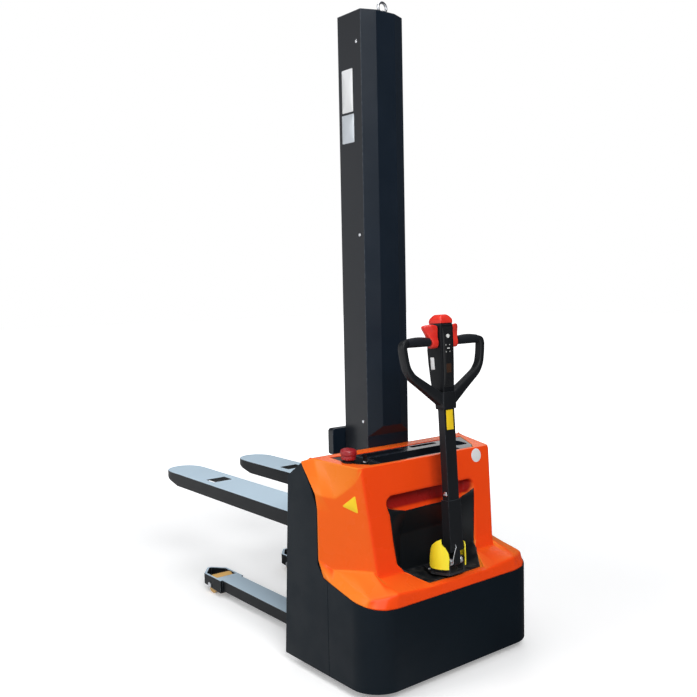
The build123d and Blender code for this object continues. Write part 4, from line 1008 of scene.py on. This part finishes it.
# Arm bolt: a washer and domed head on the arm's left face
armBolt = {"radii": (9, 9, 8.2, 5.5, 5.5, 5.0, 3.0, 2.4), "heights": (0, 1.2, 1.8, 1.8, 4.2, 5.0, 5.4, 4.0),
           "count": 28, "at": (236, 0)}


# a point n out from the arm's left face
def onArmLeft(h, d, n):
    return onTiller(arm["left"] - n, h, d)


makePiece("armBolt", [turned(armBolt, onArmLeft, armBolt["at"])], "tiller", "bright_steel")

# Stop button: a ribbed body under a mushroom head
stop = {"at": (-289.0, 33.0), "ribs": 14, "rib": 0.5, "ribbed": (12, 25), "count": 84,
        "radii": (9, 9, 25, 25.5, 25.5, 25, 24.4, 27.6, 28.5, 28.7, 28.3, 26.4, 22, 14, 5),
        "heights": (-6, 11.5, 11.5, 12.5, 22, 24.5, 26, 26.6, 28, 34, 38.5, 42.5, 44.8, 46, 46.3)}
stopTurn = fullTurn(stop["count"])
radius, up = (np.array(stop[key], float)[:, None] for key in ("radii", "heights"))
inRibs = (up > stop["ribbed"][0]) & (up < stop["ribbed"][1])
radius = radius + inRibs * stop["rib"] * np.cos(stop["ribs"] * stopTurn)
stopGrid = onTop(stop["at"][0] + radius * np.cos(stopTurn), stop["at"][1] + radius * np.sin(stopTurn), up)
makePiece("stopButton", [tube(stopGrid)], "stop_switch", "signal_red", ("estop_button",), look="stopRed",
          angle=50)

# Key: a flat bow with rounded corners on a round shank, in a steel barrel
key = {"at": (-250.0, -10.0), "aside": -1.5}
keyBow = {"low": (-10, 8), "high": (10, 29), "corner": 6, "thick": 3.0, "edge": 0.6}
keyShank = {"radii": (4.8, 4.8, 3.4, 3.4), "heights": (-6, 6.2, 6.6, 12), "count": 20}
barrel = {"radii": (9.5, 9.5, 8.6, 6.2, 6.2), "heights": (4, 6, 6.8, 6.8, 5.2), "count": 32}


# the bow stands upright: its outline runs forward and up, its thickness to the right
def onKey(y, n, x):
    return onTop(key["at"][0] + key["aside"] + x, key["at"][1] + y, n)


makePiece("keyPiece", [plate(keyBow, onKey), turned(keyShank, onTop, key["at"])], "key_switch",
          "bright_steel", ("key",), look="keypadBlack")
makePiece("keyBarrel", [turned(barrel, onTop, key["at"])], "chassis", "liner_black", look="bright_steel")

# Lift chain: five leaf plates side by side, carried over the sheave;
# each strand is built in place and rides no body
chain = {"half": 7.5, "thick": 4.0, "groove": 1.0, "groovePower": 6, "pitch": 3.0, "taper": 0.05,
         "radius": 40.4, "ahead": 430.0, "sheave": 1366.0, "foot": 516.0, "anchor": 1067.0,
         "across": 41, "overTop": 40, "down": 80, "up": 30}
plateX = np.linspace(-chain["half"], chain["half"], chain["across"])
wave = np.cos(2 * np.pi * (plateX - chain["pitch"] / 2) / chain["pitch"])
plateD = chain["thick"] - chain["groove"] * (0.5 + 0.5 * wave) ** chain["groovePower"]
chainX, chainD = np.concatenate([plateX, plateX[::-1]]), np.concatenate([plateD, -plateD[::-1]])


# a strand narrows a little from the sheave to its other end
def slimmed(height, end):
    return 1 - chain["taper"] * (chain["sheave"] - height) / (chain["sheave"] - chain[end])


# the front path is a half circle from rear to front, then straight down; outward is along its radius
down = np.linspace(chain["sheave"], chain["foot"], chain["down"])[1:]
bend = np.concatenate([np.linspace(np.pi, 0, chain["overTop"]), np.zeros(len(down))])[:, None]
drop = np.concatenate([np.full(chain["overTop"], chain["sheave"]), down])[:, None]
slim = slimmed(drop, "foot")
outward = chain["radius"] + chainD * slim
frontRun = place(chainX * slim, chain["ahead"] + outward * np.cos(bend), drop + outward * np.sin(bend))
rise = np.linspace(chain["anchor"], chain["sheave"], chain["up"])[:, None]
slim = slimmed(rise, "anchor")
rearRun = place(chainX * slim, chain["ahead"] - chain["radius"] - chainD * slim, rise)
for name, grid, node, first, last, side, ends in (
        ("chainFront", frontRun, "chain_front", "crosshead", "carriage", 1, ("sheave", "foot")),
        ("chainRear", rearRun, "chain_rear", "chassis", "crosshead", -1, ("anchor", "sheave"))):
    strand = makePiece(name, [tube(grid)], None, "chain_steel", (node,), angle=50)
    middle = chain["ahead"] + side * chain["radius"]
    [place(0, middle, chain[end]).tolist() for end in ends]
    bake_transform(strand)

# Plain triangle on the left corner face and plain disc on the rear face
triangle = {"corners": ((75, 650), (118, 615), (66, 594)), "radius": 3.0, "inset": 0.1, "dots": 10,
            "count": 48, "from": (-280, 112), "way": (0.5613, 0.8276), "thick": 0.7, "edge": 0.3,
            "sink": 2.0}
corner = np.array(triangle["corners"], float)
inset = corner + (corner.mean(0) - corner) * triangle["inset"]
spread = np.linspace(0, 2 * np.pi, triangle["dots"])
small = triangle["radius"] * np.stack([np.cos(spread), np.sin(spread)], -1)
dotted = np.vstack([point + small for point in inset])
# hull of the three small circles: the point that reaches furthest in each direction, once each
facing = fullTurn(triangle["count"])
triangleRing = dotted[np.argmax(dotted @ np.stack([np.cos(facing), np.sin(facing)]), axis=0)]
triangleRing = triangleRing[np.sort(np.unique(triangleRing, axis=0, return_index=True)[1])]


# a point s along the left corner face from its rear edge and n out from it
def onCorner(s, up, n):
    (x, ahead), (across, along) = triangle["from"], triangle["way"]
    return place(x - across * s - along * n, ahead + along * s - across * n, up)


# a point n out from the hood's leaning rear face
def onRear(x, up, n):
    return place(x, hood["rearAt"] + hood["lean"] * (up - hood["leanFrom"]) - n, up)


disc = {"at": (241, 716), "radius": 25, "count": 48, "thick": 0.7, "edge": 0.3, "sink": 2.0}
discRing = ellipsePoints(disc["radius"], disc["radius"], count=disc["count"]) + disc["at"]
makePiece("cornerTriangle", [slab(triangleRing, triangle, onCorner)], "chassis", "guard_yellow",
          look="labelYellow")
makePiece("rearDisc", [slab(discRing, disc, onRear)], "chassis", "button_white", look="plateWhite")
print("details built")

# Stage: the floor shows whiter with distance, so that it runs into the white backdrop
stage = {"half": 30, "pale": grey(0.86), "dim": grey(0.16), "diffuse": grey(0.45),
         "fade": (1.2, 4.2, 0.28, 1.0)}
# how far to the right a mirror ray may look before the studio turns dim
mirrorTurn = (-0.6, 0.45)
floorLook = bpy.data.materials.new("PaleFloor")
floorLook.use_nodes = True
rays = addNode(floorLook.node_tree, "LightPath").outputs
spot = pointOf(floorLook.node_tree)
fade = mapRange(calc("LENGTH", spot, kind="VectorMath", out="Value"), *stage["fade"])
# in a mirror the floor to the right of the truck stays dim, as the studio does there
spotX = axesOf(calc("NORMALIZE", spot, kind="VectorMath"))["X"]
lit = calc("MULTIPLY", rays["Is Glossy Ray"], mapRange(spotX, *mirrorTurn, 1.0, 0.0))
dimmed = calc("MULTIPLY", rays["Is Glossy Ray"], mapRange(spotX, *mirrorTurn))
mirrored = mixColor(dimmed, stage["pale"], stage["dim"])
floorColor = mixColor(rays["Is Diffuse Ray"], mirrored, stage["diffuse"])
glow = calc("MULTIPLY", calc("MAXIMUM", rays["Is Camera Ray"], lit), fade)
for label, value in (("Base Color", floorColor), ("Roughness", 0.9), ("Specular IOR Level", 0.1),
                     ("Emission Color", grey(1)), ("Emission Strength", glow)):
    feed(floorLook.node_tree.nodes["Principled BSDF"].inputs[label], value)
floorMesh = bpy.data.meshes.new("floor")
corners = [(x * stage["half"], y * stage["half"], 0) for x, y in ((-1, -1), (1, -1), (1, 1), (-1, 1))]
floorMesh.from_pydata(corners, [], [(0, 1, 2, 3)])
floorMesh.materials.append(floorLook)
floor = addObject("floor", floorMesh)

# Studio: a mirror ray sees a bright horizon to the left and a bright ceiling, and a dim room elsewhere
studio = {"room": (0.25, 0.257, 0.268, 1), "mirrored": (0.08, 0.084, 0.09, 1), "horizon": (0.22, 0.45),
          "ceiling": (0.7, 0.92)}
world = bpy.data.worlds.new("studio")
bpy.context.scene.world = world
world.use_nodes = True
rays = addNode(world.node_tree, "LightPath").outputs
toward = axesOf(addNode(world.node_tree, "TexCoord").outputs["Generated"])
horizon = calc("MULTIPLY", mapRange(toward["X"], *mirrorTurn, 1.0, 0.0),
               mapRange(toward["Z"], *studio["horizon"], 1.0, 0.0))
bright = calc("MAXIMUM", horizon, mapRange(toward["Z"], *studio["ceiling"]))
seen = rays["Is Camera Ray"]
for label in ("Is Glossy Ray", "Is Transmission Ray"):
    seen = calc("MAXIMUM", seen, rays[label])
white = calc("MULTIPLY", seen, calc("MAXIMUM", bright, rays["Is Camera Ray"]))
room = mixColor(rays["Is Glossy Ray"], studio["room"], studio["mirrored"])
feed(world.node_tree.nodes["Background"].inputs["Color"], mixColor(white, room, grey(1)))

lamps = {
    "leftLamp": {"at": (-3.76, 0.33, 2.55), "aim": (0, -0.3, 0.9), "size": 1.5, "watts": 42},
    "keyLamp": {"at": (-2.2, -4.8, 4.4), "aim": (0, -0.4, 0.8), "size": 2.6, "watts": 234},
    "topLamp": {"at": (-0.6, 0.2, 5.6), "aim": (0, 0, 0.5), "size": 3.0, "watts": 80},
    "rightLamp": {"at": (3.6, 2.6, 3.4), "aim": (0, 0, 0.9), "size": 2.8, "watts": 36},
}
for name, lamp in lamps.items():
    data = bpy.data.lights.new(name, "AREA")
    data.energy, data.size = lamp["watts"], lamp["size"]
    turn = (Vector(lamp["aim"]) - Vector(lamp["at"])).to_track_quat("-Z", "Y")
    addObject(name, data).matrix_world = Matrix.Translation(lamp["at"]) @ turn.to_matrix().to_4x4()

# Camera: the photograph's place and turn, worked out from its straight edges
photo = {"at": (-2.0886, -2.8950, 1.3497), "yaw": 38.34, "pitch": 4.07, "roll": 1.15, "lens": 44.31,
         "sensor": 36.0}
yaw, pitch, roll = (math.radians(photo[key]) for key in ("yaw", "pitch", "roll"))
ahead = np.array([math.sin(yaw) * math.cos(pitch), math.cos(yaw) * math.cos(pitch), -math.sin(pitch)])
level = np.array([math.cos(yaw), -math.sin(yaw), 0.0])
under = np.cross(ahead, level)
rightWay = math.cos(roll) * level + math.sin(roll) * under
downWay = -math.sin(roll) * level + math.cos(roll) * under
cameraData = bpy.data.cameras.new("camera")
cameraData.lens, cameraData.sensor_width = photo["lens"], photo["sensor"]
camera = addObject("camera", cameraData)
turnTo = np.eye(4)
turnTo[:3] = np.stack([rightWay, -downWay, -ahead, photo["at"]], -1)
camera.matrix_world = Matrix(turnTo.tolist())
bpy.context.scene.camera = camera
bpy.context.scene.view_settings.view_transform = "Standard"
print("stage, lights and camera set")
